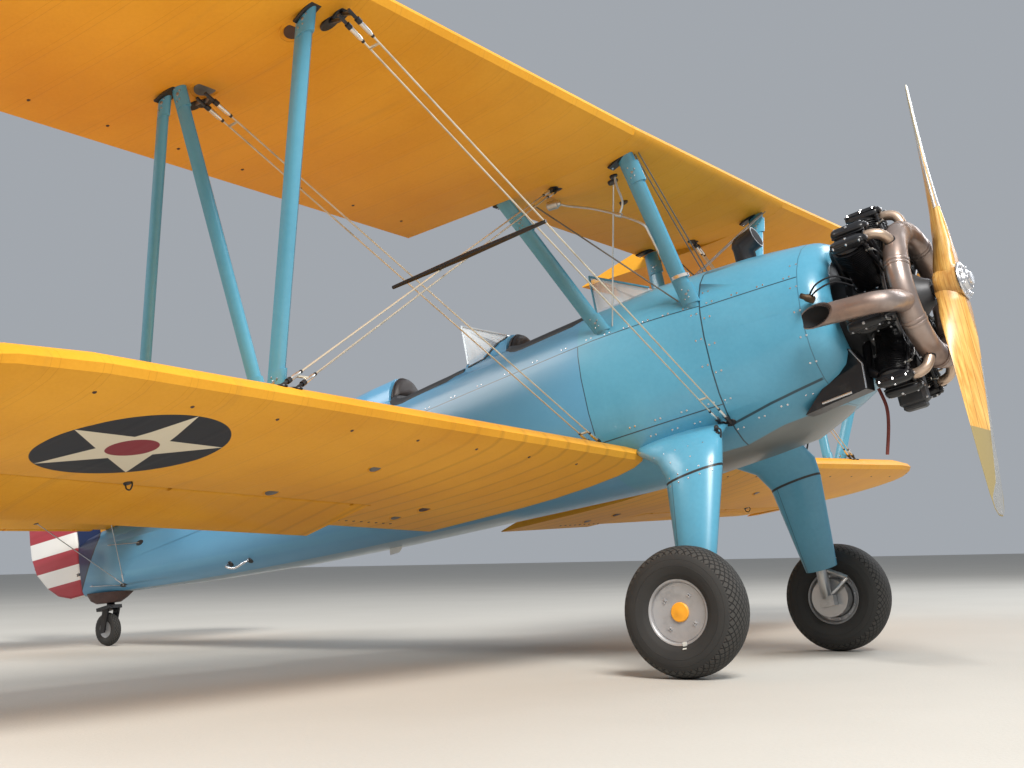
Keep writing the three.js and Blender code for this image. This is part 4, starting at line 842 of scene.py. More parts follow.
for x, y, radius in ((-1.42, -0.62, 0.024), (-1.38, -0.68, 0.018), (-1.55, -0.28, 0.02),
                     (-1.40, -0.30, 0.02)):
    at, normal = from_below(wing_nodes, x, y, 0.8)
    if at is not None:
        pods.plate(lying(at, normal), radius * 1.3, radius, 0.012)
lines.made("fuel_lines", steel_finish("line_alloy", (0.66, 0.66, 0.64), 0.3, stain=0.2), "bare_metal")
stays.made("cabane_stays", steel_finish("dark_stay", (0.22, 0.21, 0.19), 0.4), "stay_wire")
pods.made("tank_fittings", black, "black_fittings")

# Cockpit rims: a split rubber roll is laced over the edge of each opening, from the foot of the
# windshield round to the headrest, and each pilot faces a black panel of plain round dials.
rims = [
    {"start": -1.9, "tail": -2.535, "half": 0.285, "panel": -1.70},
    {"start": -2.84, "tail": -3.47, "half": 0.275, "panel": -2.96},
]
rolls, panels, bezels, dials = Draft(), Draft(), Draft(), Draft()
for rim in rims:
    half = rim["half"]
    round_in = 0.15
    straight = rim["tail"] + round_in
    outline = [(rim["start"] + (straight - rim["start"]) * i / 8, -half, 0, -1) for i in range(9)]
    for a in [math.pi / 2 * i / 6 for i in range(1, 7)]:
        c, s = math.cos(a), math.sin(a)
        outline.append((straight - round_in * s, round_in - half - round_in * c, -s, -c))
    outline += [(x, -y, out_x, -out_y) for x, y, out_x, out_y in reversed(outline)]
    rings = []
    for i, (x, y, out_x, out_y) in enumerate(outline):
        spread = 0.046 if 1 < i < len(outline) - 2 else 0.026
        spots = []
        for reach in (0.005, spread):
            at, _ = from_above(("fuselage_middle",), x + reach * out_x, y + reach * out_y)
            spots.append(at)
        inner_edge = spots[0] - Vector((0.008 * out_x, 0.008 * out_y, 0))
        rings.append([inner_edge.lerp(spots[1], share) + Vector((0, 0, rise))
                      for share, rise in ((0, -0.02), (-0.05, 0.002), (0.06, 0.011), (0.25, 0.015),
                                          (0.6, 0.013), (0.9, 0.008), (1, 0.001), (1, -0.004),
                                          (0.3, -0.004))])
    rolls.loft(rings)
    at_panel = Matrix.Translation((rim["panel"], 0, 0.27))
    lean = Matrix.Rotation(math.radians(8), 4, "Y")
    panels.block((0.008, 0.5, 0.24), at_panel @ lean, 0.3)
    for y, z, radius in ((0, 0.035, 0.042), (-0.11, 0.05, 0.034), (0.11, 0.05, 0.034),
                         (-0.17, -0.045, 0.026), (0.17, -0.045, 0.026), (-0.06, -0.055, 0.03),
                         (0.06, -0.055, 0.03)):
        spot = at_panel @ lean @ Vector((-0.0035, y, z))
        place = facing(spot, lean.to_3x3() @ Vector((-1, 0, 0)))
        bezels.turned([(-0.002, radius), (0.006, radius), (0.008, 0.86 * radius),
                       (0.003, 0.84 * radius)], 28, place)
        dials.turned([(0.0035, 0.001), (0.0035, 0.83 * radius), (0.0055, 0.83 * radius),
                      (0.0055, 0.001)], 28, place)
        for k in range(3):
            mark_at = place @ Matrix.Rotation(2.4 * k + 9 * y, 4, "X")
            bezels.block((0.001, 0.0022, 0.5 * radius), mark_at @ Matrix.Translation(
                (0.006, 0, 0.45 * radius)))
rolls.made("cockpit_rolls", black_finish("rim_rubber", 0.6), "black_leather", sharp=60)
panels.made("instrument_panels", black, "black_fittings")
bezels.made("dial_bezels", bright_steel, "bare_metal")
dials.made("dial_faces", black_finish("dial_black", 0.25), "black_fittings")

# Rear fuselage details: a lift tube in black grommets on each side, a small white drain fin under
# the belly, cable outlets near the tail and a dark boot laced round the tail wheel post.
tubes, grommets, fin_piece, boot, cables = Draft(), Draft(), Draft(), Draft(), Draft()
for side in (-1, 1):
    tubes.pipe(smooth([(-5.115, side * 0.21, -0.262), (-5.09, side * 0.255, -0.285),
                       (-5.0, side * 0.27, -0.315), (-4.92, side * 0.265, -0.3),
                       (-4.9, side * 0.235, -0.284)]), 0.008, 12)
    for x, z in ((-5.105, -0.262), (-4.909, -0.284)):
        at, normal = from_side(body_nodes, x, z, side)
        grommets.plate(lying(at, normal), 0.022, 0.022, 0.006)
    for x, z in ((-6.031, 0.109), (-6.316, -0.141)):
        at, normal = from_side(body_nodes, x, z, side)
        grommets.plate(lying(at, normal), 0.045, 0.018, 0.004)
        end, _ = from_side(body_nodes, x - 0.4, z + 0.075, side)
        if end is not None:
            cables.pipe([at + normal * 0.004, end + Vector((0, side * 0.012, 0))], 0.0028, 8)
            cables.pipe([end + Vector((0.03, side * 0.012, -0.005)), end], 0.006, 8)
    patch, _ = from_side(body_nodes, -6.316, -0.141, side)
    for x, y in ((-6.337, 0.779), (-6.09, 0.335)):
        tail_end, _ = from_below(("tailplane",), x, side * y, 0.22)
        if tail_end is not None:
            cables.pipe([patch, tail_end + Vector((0, 0, 0.004))], 0.0035, 8)
            along = (tail_end - patch).normalized()
            tubes.pipe([patch + along * 0.03, patch + along * 0.09], 0.007, 8)
            grommets.plate(lying(tail_end, (0, 0, -1)), 0.022, 0.014, 0.004)
at, normal = from_below(body_nodes, -3.82, 0, -1)
fin_piece.loft([[at + Vector((0.055 * share * math.cos(a) - lean, 0.007 * share * math.sin(a), drop))
                 for a in angles(20)]
                for share, lean, drop in ((1, 0, 0.004), (0.9, 0.008, -0.02), (0.7, 0.02, -0.037))])
boot_rings = [{"front": -6.319, "rear": -6.842, "front_z": -0.18, "rear_z": -0.10, "half": 0.062},
              {"front": -6.40, "rear": -6.80, "front_z": -0.212, "rear_z": -0.165, "half": 0.058},
              {"front": -6.484, "rear": -6.736, "front_z": -0.232, "rear_z": -0.20, "half": 0.05}]
rings = []
for level in boot_rings:
    middle, reach = 0.5 * (level["front"] + level["rear"]), 0.5 * (level["front"] - level["rear"])
    ring_points = []
    for a in angles(28):
        share = 0.5 + 0.5 * math.cos(a)
        drop = level["rear_z"] + share * (level["front_z"] - level["rear_z"])
        ring_points.append((middle + reach * math.cos(a), level["half"] * math.sin(a), drop))
    rings.append(ring_points)
boot.loft(rings)
fairing = Draft()
fairing.turned([(-0.05, 0.001), (-0.042, 0.015), (-0.01, 0.026), (0.03, 0.027), (0.075, 0.014),
                (0.1, 0.001)], 24, facing((-7.362, 0, 0.225), (1, 0, 0.12)))
fairing.made("rudder_fairing",
             steel_finish("fairing_red", (0.42, 0.03, 0.045), 0.35, metallic=0.0),
             "striped_fabric", "rudder")
tubes.made("lift_tubes", bright_steel, "bare_metal")
grommets.made("fuselage_grommets", black, "black_fittings")
cables.made("rudder_cables", bare_steel, "stay_wire")
fin_piece.made("drain_fin", steel_finish("drain_white", (0.75, 0.75, 0.72), 0.4, metallic=0.0),
               "bare_metal")
boot.made("tail_boot", brown_plate, "black_leather")

# The engine is a seven-cylinder air-cooled radial. Turned steel barrels with close cooling fins
# are bolted to the crankcase, each under a cast head with two rocker boxes, and tubes in front
# cover the push rods. All of it is sprayed black, with bright nuts.
cylinder_count = 7
cylinder_x = -0.335
outward = Matrix.Rotation(-math.pi / 2, 4, "Y")
cylinder_profile = [(0.188, 0.001), (0.188, 0.1), (0.2, 0.1), (0.2, 0.066)]
barrel_fins = {"first": 0.212, "count": 15, "pitch": 0.0092, "core": 0.066, "reach": 0.085}
head_fins = {"first": 0.352, "count": 10, "pitch": 0.0112, "core": 0.082, "reach": 0.1}
for fins in (barrel_fins, head_fins):
    for i in range(fins["count"]):
        at = fins["first"] + i * fins["pitch"]
        for lift, radius in ((0, fins["core"]), (0.001, fins["reach"]), (0.003, fins["reach"]),
                             (0.004, fins["core"])):
            cylinder_profile.append((at + lift, radius))
cylinder_profile += [(0.468, 0.088), (0.483, 0.078), (0.494, 0.055), (0.499, 0.001)]
rocker_box = {"length": 0.185, "width": 0.054, "depth": 0.06, "height": 0.497, "apart": 0.052}


def squared(value, power):
    """A cosine or sine pushed outwards, so that a circle becomes a rounded oblong."""
    return math.copysign(abs(value) ** power, value)


def rocker_rings(length, width, depth):
    """Rounded oblongs along a rocker box, drawn in at both ends."""
    rings = []
    for place in (-1, -0.96, -0.85, -0.6, 0, 0.6, 0.85, 0.96, 1):
        swell = max(1 - abs(place) ** 6, 0.02) ** 0.35
        ring = []
        for a in angles(20):
            ring.append((place * length / 2,
                         squared(math.cos(a), 0.6) * width / 2 * swell,
                         squared(math.sin(a), 0.6) * depth / 2 * swell))
        rings.append(ring)
    return rings


cylinders, nuts, leads, plugs, intakes = Draft(), Draft(), Draft(), Draft(), Draft()
for i in range(cylinder_count):
    there = Matrix.Rotation(2 * math.pi * i / cylinder_count, 4, "X")
    there = Matrix.Translation((cylinder_x, 0, 0)) @ there
    cylinders.turned(cylinder_profile, 40, there @ outward)
    for side in (-1, 1):
        box_at = there @ Matrix.Translation((0.01, side * rocker_box["apart"], rocker_box["height"]))
        box_at = box_at @ Matrix.Rotation(side * math.radians(9), 4, "X")
        cylinders.loft(rocker_rings(rocker_box["length"], rocker_box["width"], rocker_box["depth"]),
                       box_at)
        cylinders.block((0.176, 0.062, 0.007), box_at @ Matrix.Translation((0, 0, 0.006)))
        cylinders.turned([(0, 0.02), (0.012, 0.02), (0.018, 0.012)], 16,
                         box_at @ Matrix.Translation((0.086, 0, 0)))
        for run in (-0.07, 0, 0.07):
            spot = box_at @ Vector((run, side * 0.027, 0.012))
            nuts.stud(spot, box_at.to_3x3() @ Vector((0, 0, 1)), 0.0055, 0.006, 6)
        nuts.stud(box_at @ Vector((0, 0, 0.03)), box_at.to_3x3() @ Vector((0, 0, 1)), 0.008, 0.006, 6)
        nuts.stud(box_at @ Vector((0.104, 0, 0)), (1, 0, 0), 0.009, 0.005, 6)
        rod = [Vector((0.105, side * 0.03, 0.13)), Vector((0.085, side * 0.056, 0.478))]
        cylinders.pipe(rod, 0.0105, 12, at=there)
        for share in (0.03, 0.1, 0.9, 0.97):
            joint = rod[0].lerp(rod[1], share)
            cylinders.pipe([joint, joint + (rod[1] - rod[0]) * 0.025], 0.0145, 12, at=there)
        plug = there @ Vector((0.075, side * 0.05, 0.425))
        ahead_out = there.to_3x3() @ Vector((1, side * 0.5, 0.1))
        plugs.stud(plug, ahead_out, 0.012, 0.012, 6)
        plugs.turned([(0, 0.007), (0.045, 0.0065)], 10, facing(plug, ahead_out))
        lead_end = plug + ahead_out.normalized() * 0.04
        ring_at = there @ Vector((0.085, side * 0.075, 0.25))
        bend = lead_end + ahead_out * 0.02 - there.to_3x3() @ Vector((0, 0, 0.03))
        leads.pipe(smooth([lead_end, bend, there @ Vector((0.1, side * 0.085, 0.32)), ring_at]),
                   0.0045, 8)
    for a in angles(8, 0.5):
        spot = there @ Vector((0.09 * math.cos(a), 0.09 * math.sin(a), 0.2))
        nuts.stud(spot, there.to_3x3() @ Vector((0, 0, 1)), 0.007, 0.006, 6)
    intakes.pipe(smooth([(-0.13, 0.02, 0.2), (-0.12, 0.035, 0.3), (-0.115, 0.05, 0.4),
                         (-0.06, 0.05, 0.45)]), 0.024, 16, at=there)
engine_black = black_finish("engine_black_enamel", 0.32)
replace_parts(cylinders.made("engine_cylinders", engine_black, "engine_black", sharp=40), "engine")
intakes.made("intake_pipes", engine_black, "engine_black")
nuts.made("engine_nuts", bright_steel, "bare_metal")
plugs.made("spark_plugs", steel_finish("plug_steel", (0.6, 0.58, 0.54), 0.3), "bare_metal")

# The crankcase: a turned nose over the shaft, the case that carries the cylinders and the
# blower housing behind, with a ring of bolts at each joint. Below it hangs the oil sump.
case = Draft()
case.turned([(-0.0665, 0.001), (-0.0665, 0.03), (-0.084, 0.031), (-0.085, 0.06), (-0.095, 0.07),
             (-0.12, 0.082), (-0.15, 0.108), (-0.175, 0.128), (-0.19, 0.134), (-0.2, 0.168),
             (-0.215, 0.171), (-0.235, 0.19), (-0.25, 0.198), (-0.44, 0.2), (-0.465, 0.234),
             (-0.545, 0.236), (-0.56, 0.2), (-0.573, 0.001)], 56)
case.turned([(-0.556, 0.001), (-0.556, 0.322), (-0.568, 0.324), (-0.568, 0.001)], 56)
case.block((0.15, 0.092, 0.37), Matrix.Translation((-0.33, 0, -0.36)), 0.2)
case.block((0.12, 0.07, 0.03), Matrix.Translation((-0.33, 0, -0.548)), 0.3)
case_bolts = Draft()
for ring in ({"x": -0.2, "radius": 0.158, "count": 16, "size": 0.007},
             {"x": -0.09, "radius": 0.05, "count": 8, "size": 0.006},
             {"x": -0.465, "radius": 0.224, "count": 21, "size": 0.007}):
    for spot in circle(ring["x"], ring["radius"], ring["count"], 0.5):
        case_bolts.stud(spot, (1, 0, 0), ring["size"], 0.006, 6)
for side in (-1, 1):
    for z in (-0.22, -0.3, -0.38, -0.46, -0.52):
        case_bolts.stud((-0.254, side * 0.036, z), (1, 0, 0), 0.006, 0.006, 6)
case_grey = steel_finish("cast_case_grey", (0.055, 0.056, 0.06), 0.45, metallic=0.4)
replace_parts(case.made("engine_crankcase", case_grey, "engine_black"), "engine")
case_bolts.made("crankcase_bolts", bright_steel, "bare_metal")
harness = Draft()
harness.pipe(circle(-0.25, 0.262, 56), 0.011, 10, closed=True)
harness.made("ignition_ring", steel_finish("harness_grey", (0.25, 0.25, 0.26), 0.4), "bare_metal")
leads.made("ignition_leads", black, "black_fittings")

# The exhaust collector is a fat ring of rolled steel in front of the cylinders, browned by heat.
# Paler curved stubs join it to the heads under dark clamp bands, and one tail pipe leaves it to
# starboard and ends in a long slanting cut.
collector = {"x": -0.145, "radius": 0.335, "tube": 0.062}
ring = Draft()
ring.pipe(circle(collector["x"], collector["radius"], 72), collector["tube"], 24, closed=True)
tail_path = smooth([(-0.145, -0.335, -0.085), (-0.15, -0.43, -0.095), (-0.156, -0.51, -0.104),
                    (-0.175, -0.578, -0.111), (-0.235, -0.612, -0.107), (-0.36, -0.616, -0.097),
                    (-0.48, -0.619, -0.087), (-0.596, -0.622, -0.078)], 6)
pipe_radius, pipe_bore = 0.054, 0.049


def scarfed(radius):
    """Rings of the tail pipe, the last ones cut off along a slanting plane."""
    probe = Draft()
    probe.pipe(tail_path, radius, 28)
    rings = [probe.points[i:i + 28] for i in range(0, len(probe.points), 28)]
    cut_normal = Vector((0.4305, 0.9026, 0))
    cut_at = Vector((-0.528, -0.727, 0)) + cut_normal * 0.1
    for ring_points in rings:
        for k, point in enumerate(ring_points):
            short = (cut_at - point).dot(cut_normal)
            if short > 0:
                ring_points[k] = point + Vector((short / cut_normal.x, 0, 0))
    return rings


outer, inner = scarfed(pipe_radius), scarfed(pipe_bore)
ring.loft(outer + inner[:8:-1])
soot = Draft()
soot.loft(scarfed(pipe_bore - 0.0004)[10:] + scarfed(pipe_bore - 0.0012)[:10:-1])
stubs, bands = Draft(), Draft()
for i in range(cylinder_count):
    turn = Matrix.Rotation(2 * math.pi * i / cylinder_count, 4, "X")
    path = smooth([(-0.148, 0, 0.36), (-0.152, 0, 0.405), (-0.172, 0, 0.447), (-0.21, 0, 0.467),
                   (-0.245, 0, 0.468)], 5)
    stubs.pipe(path, 0.0265, 20, at=turn)
    bands.pipe([path[3], path[4]], 0.031, 20, at=turn)
    bands.pipe([path[-2], path[-1]], 0.034, 20, at=turn)
    bolt_at = turn @ (path[3] + Vector((0, 0.034, 0)))
    bands.stud(bolt_at, turn.to_3x3() @ Vector((0, 0, 1)), 0.006, 0.012)
    seam = Matrix.Rotation(2 * math.pi * (i + 0.38) / cylinder_count, 4, "X")
    for run in (-0.011, 0.011):
        lip = [(-0.009, 0.0635), (-0.006, 0.0655), (0.006, 0.0655), (0.009, 0.0635)]
        at = seam @ Matrix.Translation((collector["x"], 0, collector["radius"]))
        at = at @ Matrix.Rotation(math.pi / 2, 4, "Z") @ Matrix.Translation((run, 0, 0))
        ring.turned(lip, 28, at)


def burnt_finish(name, cool, hot):
    start, place, _, close = surface(name, roughness=0.38, metallic=0.75)
    cloud = start.speckle(place, 3.5, detail=4)
    bloom = start.speckle(place, 9, detail=5).step(0.4, 0.7)
    colour = cloud.step(0.3, 0.7).mixed(cool, hot)
    colour = (bloom * 0.35).mixed(colour, (0.10, 0.075, 0.075))
    return close(colour, rough=0.3 + bloom * 0.25, height=start.speckle(place, 60), depth=0.0002)


burnt = burnt_finish("heat_stained_steel", (0.40, 0.33, 0.30), (0.34, 0.23, 0.18))
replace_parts(ring.made("exhaust_ring", burnt, "burnt_steel", sharp=40), "exhaust_collector")
tan_stain = burnt_finish("tan_stained_steel", (0.52, 0.38, 0.28), (0.68, 0.52, 0.40))
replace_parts(stubs.made("exhaust_stubs", tan_stain, "burnt_steel"), "exhaust_collector")
bands.made("exhaust_bands", black, "burnt_steel")
soot.made("tail_pipe_soot", black_finish("soot_black", 0.85), "burnt_steel")


# Under the nose: a bright lip on the scoop, a red drain hose with a clip, and the plug at the end
# of the starboard cowl harness, behind the mouth of the tail pipe.
lip, hose, harness_plug, plug_leads = Draft(), Draft(), Draft(), Draft()
lip.pipe([(-0.70, -0.309, -0.447), (-0.535, -0.309, -0.436)], 0.007, 8)
lip.pipe([(-0.462, -0.30, -0.437), (-0.45, -0.30, -0.31), (-0.497, -0.30, -0.222)], 0.006, 8)
hose.pipe(smooth([(-0.50, 0.01, -0.40), (-0.485, 0.01, -0.50), (-0.50, 0.008, -0.60),
                  (-0.545, 0.005, -0.745)]), 0.009, 12)
harness_plug.turned([(-0.03, 0.001), (-0.03, 0.02), (0.01, 0.02), (0.02, 0.015), (0.045, 0.014),
                     (0.045, 0.001)], 16, facing((-0.565, -0.50, 0.05), (-0.5, -0.8, 0.35)))
for lift in (0, 0.03):
    plug_leads.pipe(smooth([(-0.56, -0.49, 0.05 + 0.5 * lift), (-0.50, -0.52, 0.07 + lift),
                            (-0.42, -0.48, 0.09 + lift), (-0.36, -0.40, 0.06 + lift)]), 0.005, 8)
lip.made("scoop_lip", bright_steel, "bare_metal")
hose.made("drain_hose", steel_finish("red_hose", (0.22, 0.05, 0.04), 0.6, metallic=0.0),
          "black_fittings")
harness_plug.made("harness_plug", steel_finish("plug_brown", (0.12, 0.08, 0.05), 0.45), "bare_metal")
plug_leads.made("harness_leads", black, "black_fittings")

# The propeller is carved from laminated ash and varnished to a honey colour. A riveted metal
# sheath protects the outer leading edges, and a polished plate clamps it to the shaft.
def wood_finish():
    start, place, (x, y, z), close = surface("varnished_laminate", roughness=0.36, Coat_Weight=0.3,
                                             Coat_Roughness=0.3)
    ply = x.every(0.022)
    grain = start.speckle(place, 26, detail=7, stretch=(2.5, 1.6, 0.07))
    streak = start.speckle(place, 5, detail=5, stretch=(3, 3, 0.3)).step(0.55, 0.75)
    honey = grain.step(0.3, 0.7).mixed((0.58, 0.27, 0.05), (0.82, 0.50, 0.14))
    honey = (streak * 0.45).mixed(honey, (0.30, 0.11, 0.02))
    honey = (ply.line(0, 0.0022) * 0.5).mixed(honey, (0.22, 0.08, 0.015))
    span = y.hypot(z)
    painted = span.step(0.80, 0.803)
    hub_shade = (1 - span.step(0.05, 0.3)) * start.speckle(place, 7, detail=4).step(0.35, 0.65)
    honey = (hub_shade * 0.55).mixed(honey, (0.27, 0.10, 0.02))
    honey = painted.mixed(honey, streak.mixed((0.30, 0.235, 0.10), (0.24, 0.18, 0.08)))
    return close(honey, rough=0.3 + grain * 0.12 + painted * 0.15)


blade_stations = [
    {"r": 0.0, "chord": 0.188, "thick": 0.13, "pitch": 62},
    {"r": 0.06, "chord": 0.186, "thick": 0.129, "pitch": 58},
    {"r": 0.11, "chord": 0.18, "thick": 0.122, "pitch": 52},
    {"r": 0.17, "chord": 0.184, "thick": 0.1, "pitch": 46},
    {"r": 0.24, "chord": 0.19, "thick": 0.074, "pitch": 40},
    {"r": 0.45, "chord": 0.194, "thick": 0.042, "pitch": 27},
    {"r": 0.7, "chord": 0.186, "thick": 0.028, "pitch": 19},
    {"r": 0.95, "chord": 0.16, "thick": 0.02, "pitch": 14.5},
    {"r": 1.14, "chord": 0.12, "thick": 0.013, "pitch": 12},
    {"r": 1.215, "chord": 0.084, "thick": 0.009, "pitch": 11.5},
    {"r": 1.244, "chord": 0.036, "thick": 0.006, "pitch": 11.5},
]
propeller_turn = -0.231
keys = ("r", "chord", "thick", "pitch")
fine_stations = []
for low, high in zip(blade_stations, blade_stations[1:]):
    for step in range(6):
        share = step / 6
        fine_stations.append([low[k] + share * (high[k] - low[k]) for k in keys])
fine_stations.append([blade_stations[-1][k] for k in keys])


def blade_point(station, share, face, proud=0.0):
    """A point of the blade: share of the chord from the leading edge, front or back face."""
    r, chord, thick, pitch = station
    oval = max(0, 1 - r / 0.3)
    swell = (1 - oval) * share ** 0.5 * (1 - share) ** 0.8 / 0.4206
    swell += oval * (4 * share * (1 - share)) ** 0.4
    along = (share - 0.5) * chord - (proud if share < 0.01 else 0)
    out = face * (swell * thick * 0.5 + 0.0008 + proud)
    angle = math.radians(pitch)
    depth = -along * math.sin(angle) + out * math.cos(angle)
    return (min(max(depth, -0.066), 0.066),
            along * math.cos(angle) + out * math.sin(angle), r)


shares = [0.5 - 0.5 * math.cos(math.pi * i / 12) for i in range(13)]
blades, sheaths, rivets = Draft(), Draft(), Draft()
for half in (0, math.pi):
    turn = Matrix.Rotation(propeller_turn + half, 4, "X")
    blades.loft([[blade_point(s, share, 1) for share in shares]
                 + [blade_point(s, share, -1) for share in reversed(shares)]
                 for s in fine_stations], turn)
    rings = []
    for station in [s for s in fine_stations if 0.4 < s[0] < 1.243]:
        wide = 0.1 + 0.55 * max((station[0] - 0.4) / 0.84, 0) ** 2.2
        wide = min(wide + 4 * max(station[0] - 1.07, 0), 0.96)
        steps = [wide * (1 - i / 6) for i in range(7)]
        rings.append([blade_point(station, share, 1, 0.0009) for share in steps]
                     + [blade_point(station, share, -1, 0.0009) for share in reversed(steps[:-1])]
                     + [blade_point(station, share, -1) for share in steps[:-1]]
                     + [blade_point(station, share, 1) for share in reversed(steps[:-1])])
        for face in (1, -1):
            for share in (0.8, 0.45):
                spot = turn @ Vector(blade_point(station, wide * share, face, 0.001))
                rivets.stud(spot, turn.to_3x3() @ Vector((face, 0, 0)), 0.003, 0.0012)
    sheaths.loft(rings, turn)
blades.turned([(-0.0655, 0.001), (-0.0655, 0.072), (-0.055, 0.086), (-0.03, 0.09), (0.03, 0.09),
               (0.055, 0.09), (0.0655, 0.088), (0.0655, 0.001)], 48)
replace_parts(blades.made("propeller_blades", wood_finish(), "varnished_wood", "propeller", 50),
            "propeller")
sheaths.made("blade_sheaths", steel_finish("sheath_metal", (0.7, 0.69, 0.66), 0.38), "bare_metal",
             "propeller", 50)
rivets.made("sheath_rivets", bright_steel, "bare_metal", "propeller")
plate = Draft()
plate.turned([(0.0664, 0.001), (0.0664, 0.098), (0.072, 0.1), (0.079, 0.097), (0.081, 0.06),
              (0.09, 0.052), (0.1, 0.05), (0.104, 0.044), (0.104, 0.001)], 56)
plate.turned([(0.09, 0.001), (0.09, 0.036), (0.114, 0.036), (0.118, 0.032), (0.118, 0.001)], 12)
for spot in circle(0.078, 0.076, 8, 0.5):
    plate.stud(spot, (1, 0, 0), 0.0125, 0.009, 6)
    plate.stud(spot + Vector((0.009, 0, 0)), (1, 0, 0), 0.006, 0.009, 10)
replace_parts(plate.made("propeller_plate", bright_steel, "bare_metal", "propeller"),
            "propeller_hub")


# Tyres: black rubber with a diamond tread that runs on to the shoulders, and moulded rings on
# the side walls, dusty from the concrete.
def rubber_finish(name, centre, radius, pitch):
    start, place, (x, y, z), close = surface(name, roughness=0.85)
    run, rise, across = x - centre[0], z - centre[2], abs(y) - centre[1]
    reach = run.hypot(rise)
    around = run.maths("ARCTAN2", rise, run) * radius
    first = (around + across * 1.6).every(pitch)
    second = (around - across * 1.6).every(pitch)
    tread = (reach - radius * 0.86).step(0, 0.006)
    grooves = (1 - (first & second).step(0.002, 0.0055)) * tread
    rings = reach.line(radius * 0.70, 0.004) | reach.line(radius * 0.80, 0.003)
    dust = start.speckle(place, 7, detail=6)
    colour = (dust * 0.5).mixed((0.014, 0.014, 0.015), (0.06, 0.057, 0.05))
    colour = (tread * 0.35).mixed(colour, (0.085, 0.08, 0.072))
    # The grooves are painted nearly black, darker than the rubber itself: painted shade in the tread's
    # recesses.
    colour = (grooves * 0.9).mixed(colour, (0.004, 0.004, 0.005))
    height = start.speckle(place, 90) * 0.1 - grooves + rings * 0.5
    return close(colour, rough=0.72 + dust * 0.15, height=height, depth=0.006)


axle = Vector((-1.375, 0.9875, -1.346))
tyre_half = [(0.0, 0.316), (0.03, 0.3145), (0.058, 0.306), (0.083, 0.292), (0.1, 0.268),
             (0.1085, 0.236), (0.109, 0.206), (0.105, 0.2), (0.1062, 0.186), (0.101, 0.18),
             (0.097, 0.166), (0.08, 0.153), (0.078, 0.148)]
main_rubber = rubber_finish("tyre_rubber", axle, 0.316, 0.04)


def wheel_place(side):
    """The middle of a main wheel, with the x axis pointing outboard."""
    turn = Matrix.Rotation(side * math.pi / 2, 4, "Z")
    return Matrix.Translation((axle.x, side * axle.y, axle.z)) @ turn


for name, side in (("left", 1), ("right", -1)):
    sideways = wheel_place(side)
    tyre = Draft()
    tyre.turned([(-x, r) for x, r in reversed(tyre_half)] + tyre_half[1:], 96, sideways, closed=True)
    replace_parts(tyre.made(f"tyre_{name}_tread", main_rubber, "tyre", f"main_wheel_{name}", 60),
                f"tyre_{name}")

# Main wheels: silver-lacquered castings behind a flat disc that four clips hold, with an orange
# grease cap in the middle and a white slip mark across rim and tyre.
silver = steel_finish("silver_lacquer", (0.46, 0.46, 0.47), 0.42, metallic=0.6)
orange = steel_finish("orange_cap_paint", (0.85, 0.36, 0.02), 0.45, metallic=0.0, stain=0.15)
white_mark = steel_finish("white_mark_paint", (0.7, 0.7, 0.66), 0.5, metallic=0.0)
for name, side in (("left", 1), ("right", -1)):
    sideways = wheel_place(side)
    rim = Draft()
    rim.turned([(0.062, 0.001), (0.062, 0.05), (0.066, 0.11), (0.073, 0.139), (0.0705, 0.141),
                (0.0705, 0.144), (0.084, 0.146), (0.088, 0.15), (0.0895, 0.157), (0.084, 0.158),
                (0.07, 0.152), (-0.07, 0.152), (-0.084, 0.158), (-0.087, 0.154), (-0.082, 0.147),
                (-0.066, 0.144), (-0.057, 0.136), (-0.055, 0.118), (0.03, 0.116), (0.03, 0.05),
                (-0.045, 0.046), (-0.045, 0.0265), (0.05, 0.0265), (0.05, 0.001)], 64, sideways)
    clips = Draft()
    for a in angles(4, 0.5):
        clip_at = sideways @ Matrix.Translation((0.068, 0.095 * math.cos(a), 0.095 * math.sin(a)))
        clips.block((0.006, 0.007, 0.026), clip_at @ Matrix.Rotation(0.5 + a, 4, "X"))
        clips.block((0.006, 0.007, 0.022), clip_at @ Matrix.Rotation(a - 0.7, 4, "X"))
    for spot in circle(-0.057, 0.128, 12):
        clips.stud(sideways @ spot, (0, -side, 0), 0.006, 0.004, 6)
    body = f"main_wheel_{name}"
    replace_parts(rim.made(f"wheel_{name}_rim", silver, "silver_paint", body, 40), f"wheel_{name}")
    clips.made(f"wheel_{name}_clips", bright_steel, "bare_metal", body)
    cap = Draft()
    cap.turned([(0.06, 0.001), (0.06, 0.047), (0.068, 0.047), (0.0715, 0.043), (0.0725, 0.02),
                (0.074, 0.016), (0.0745, 0.001)], 48, sideways)
    cap.made(f"wheel_{name}_cap", orange, "silver_paint", body)
    mark = Draft()
    mark.block((0.003, 0.022, 0.022), sideways @ Matrix.Translation((0.0885, 0, -0.152)))
    lean = Matrix.Rotation(-0.9, 4, "Y")
    mark.block((0.003, 0.02, 0.02), sideways @ Matrix.Translation((0.0955, 0, -0.169)) @ lean)
    mark.made(f"wheel_{name}_slip_mark", white_mark, "silver_paint", body)
tail_rubber = rubber_finish("tail_tyre_rubber", (-6.654, 0, -0.406), 0.124, 0.03)
skin_of("tail_tyre", tail_rubber, body="tail_wheel", sharp=60)
skin_of("tail_hub", silver, body="tail_wheel")


# Leather: black hide on the seats and headrests, creased and rubbed grey at the edges. Each
# headrest is a stuffed dome sewn to a flat back, with a welt along the seam.
def leather_finish():
    start, place, _, close = surface("black_leather", roughness=0.55)
    crease = start.add("ShaderNodeTexVoronoi", {"feature": "DISTANCE_TO_EDGE"},
                       {"Vector": place, "Scale": 180})
    rub = start.speckle(place, 12, detail=5).step(0.5, 0.8)
    return close((rub * 0.4).mixed((0.02, 0.014, 0.013), (0.085, 0.065, 0.06)),
                 rough=0.48 + rub * 0.2, height=crease, depth=0.001)


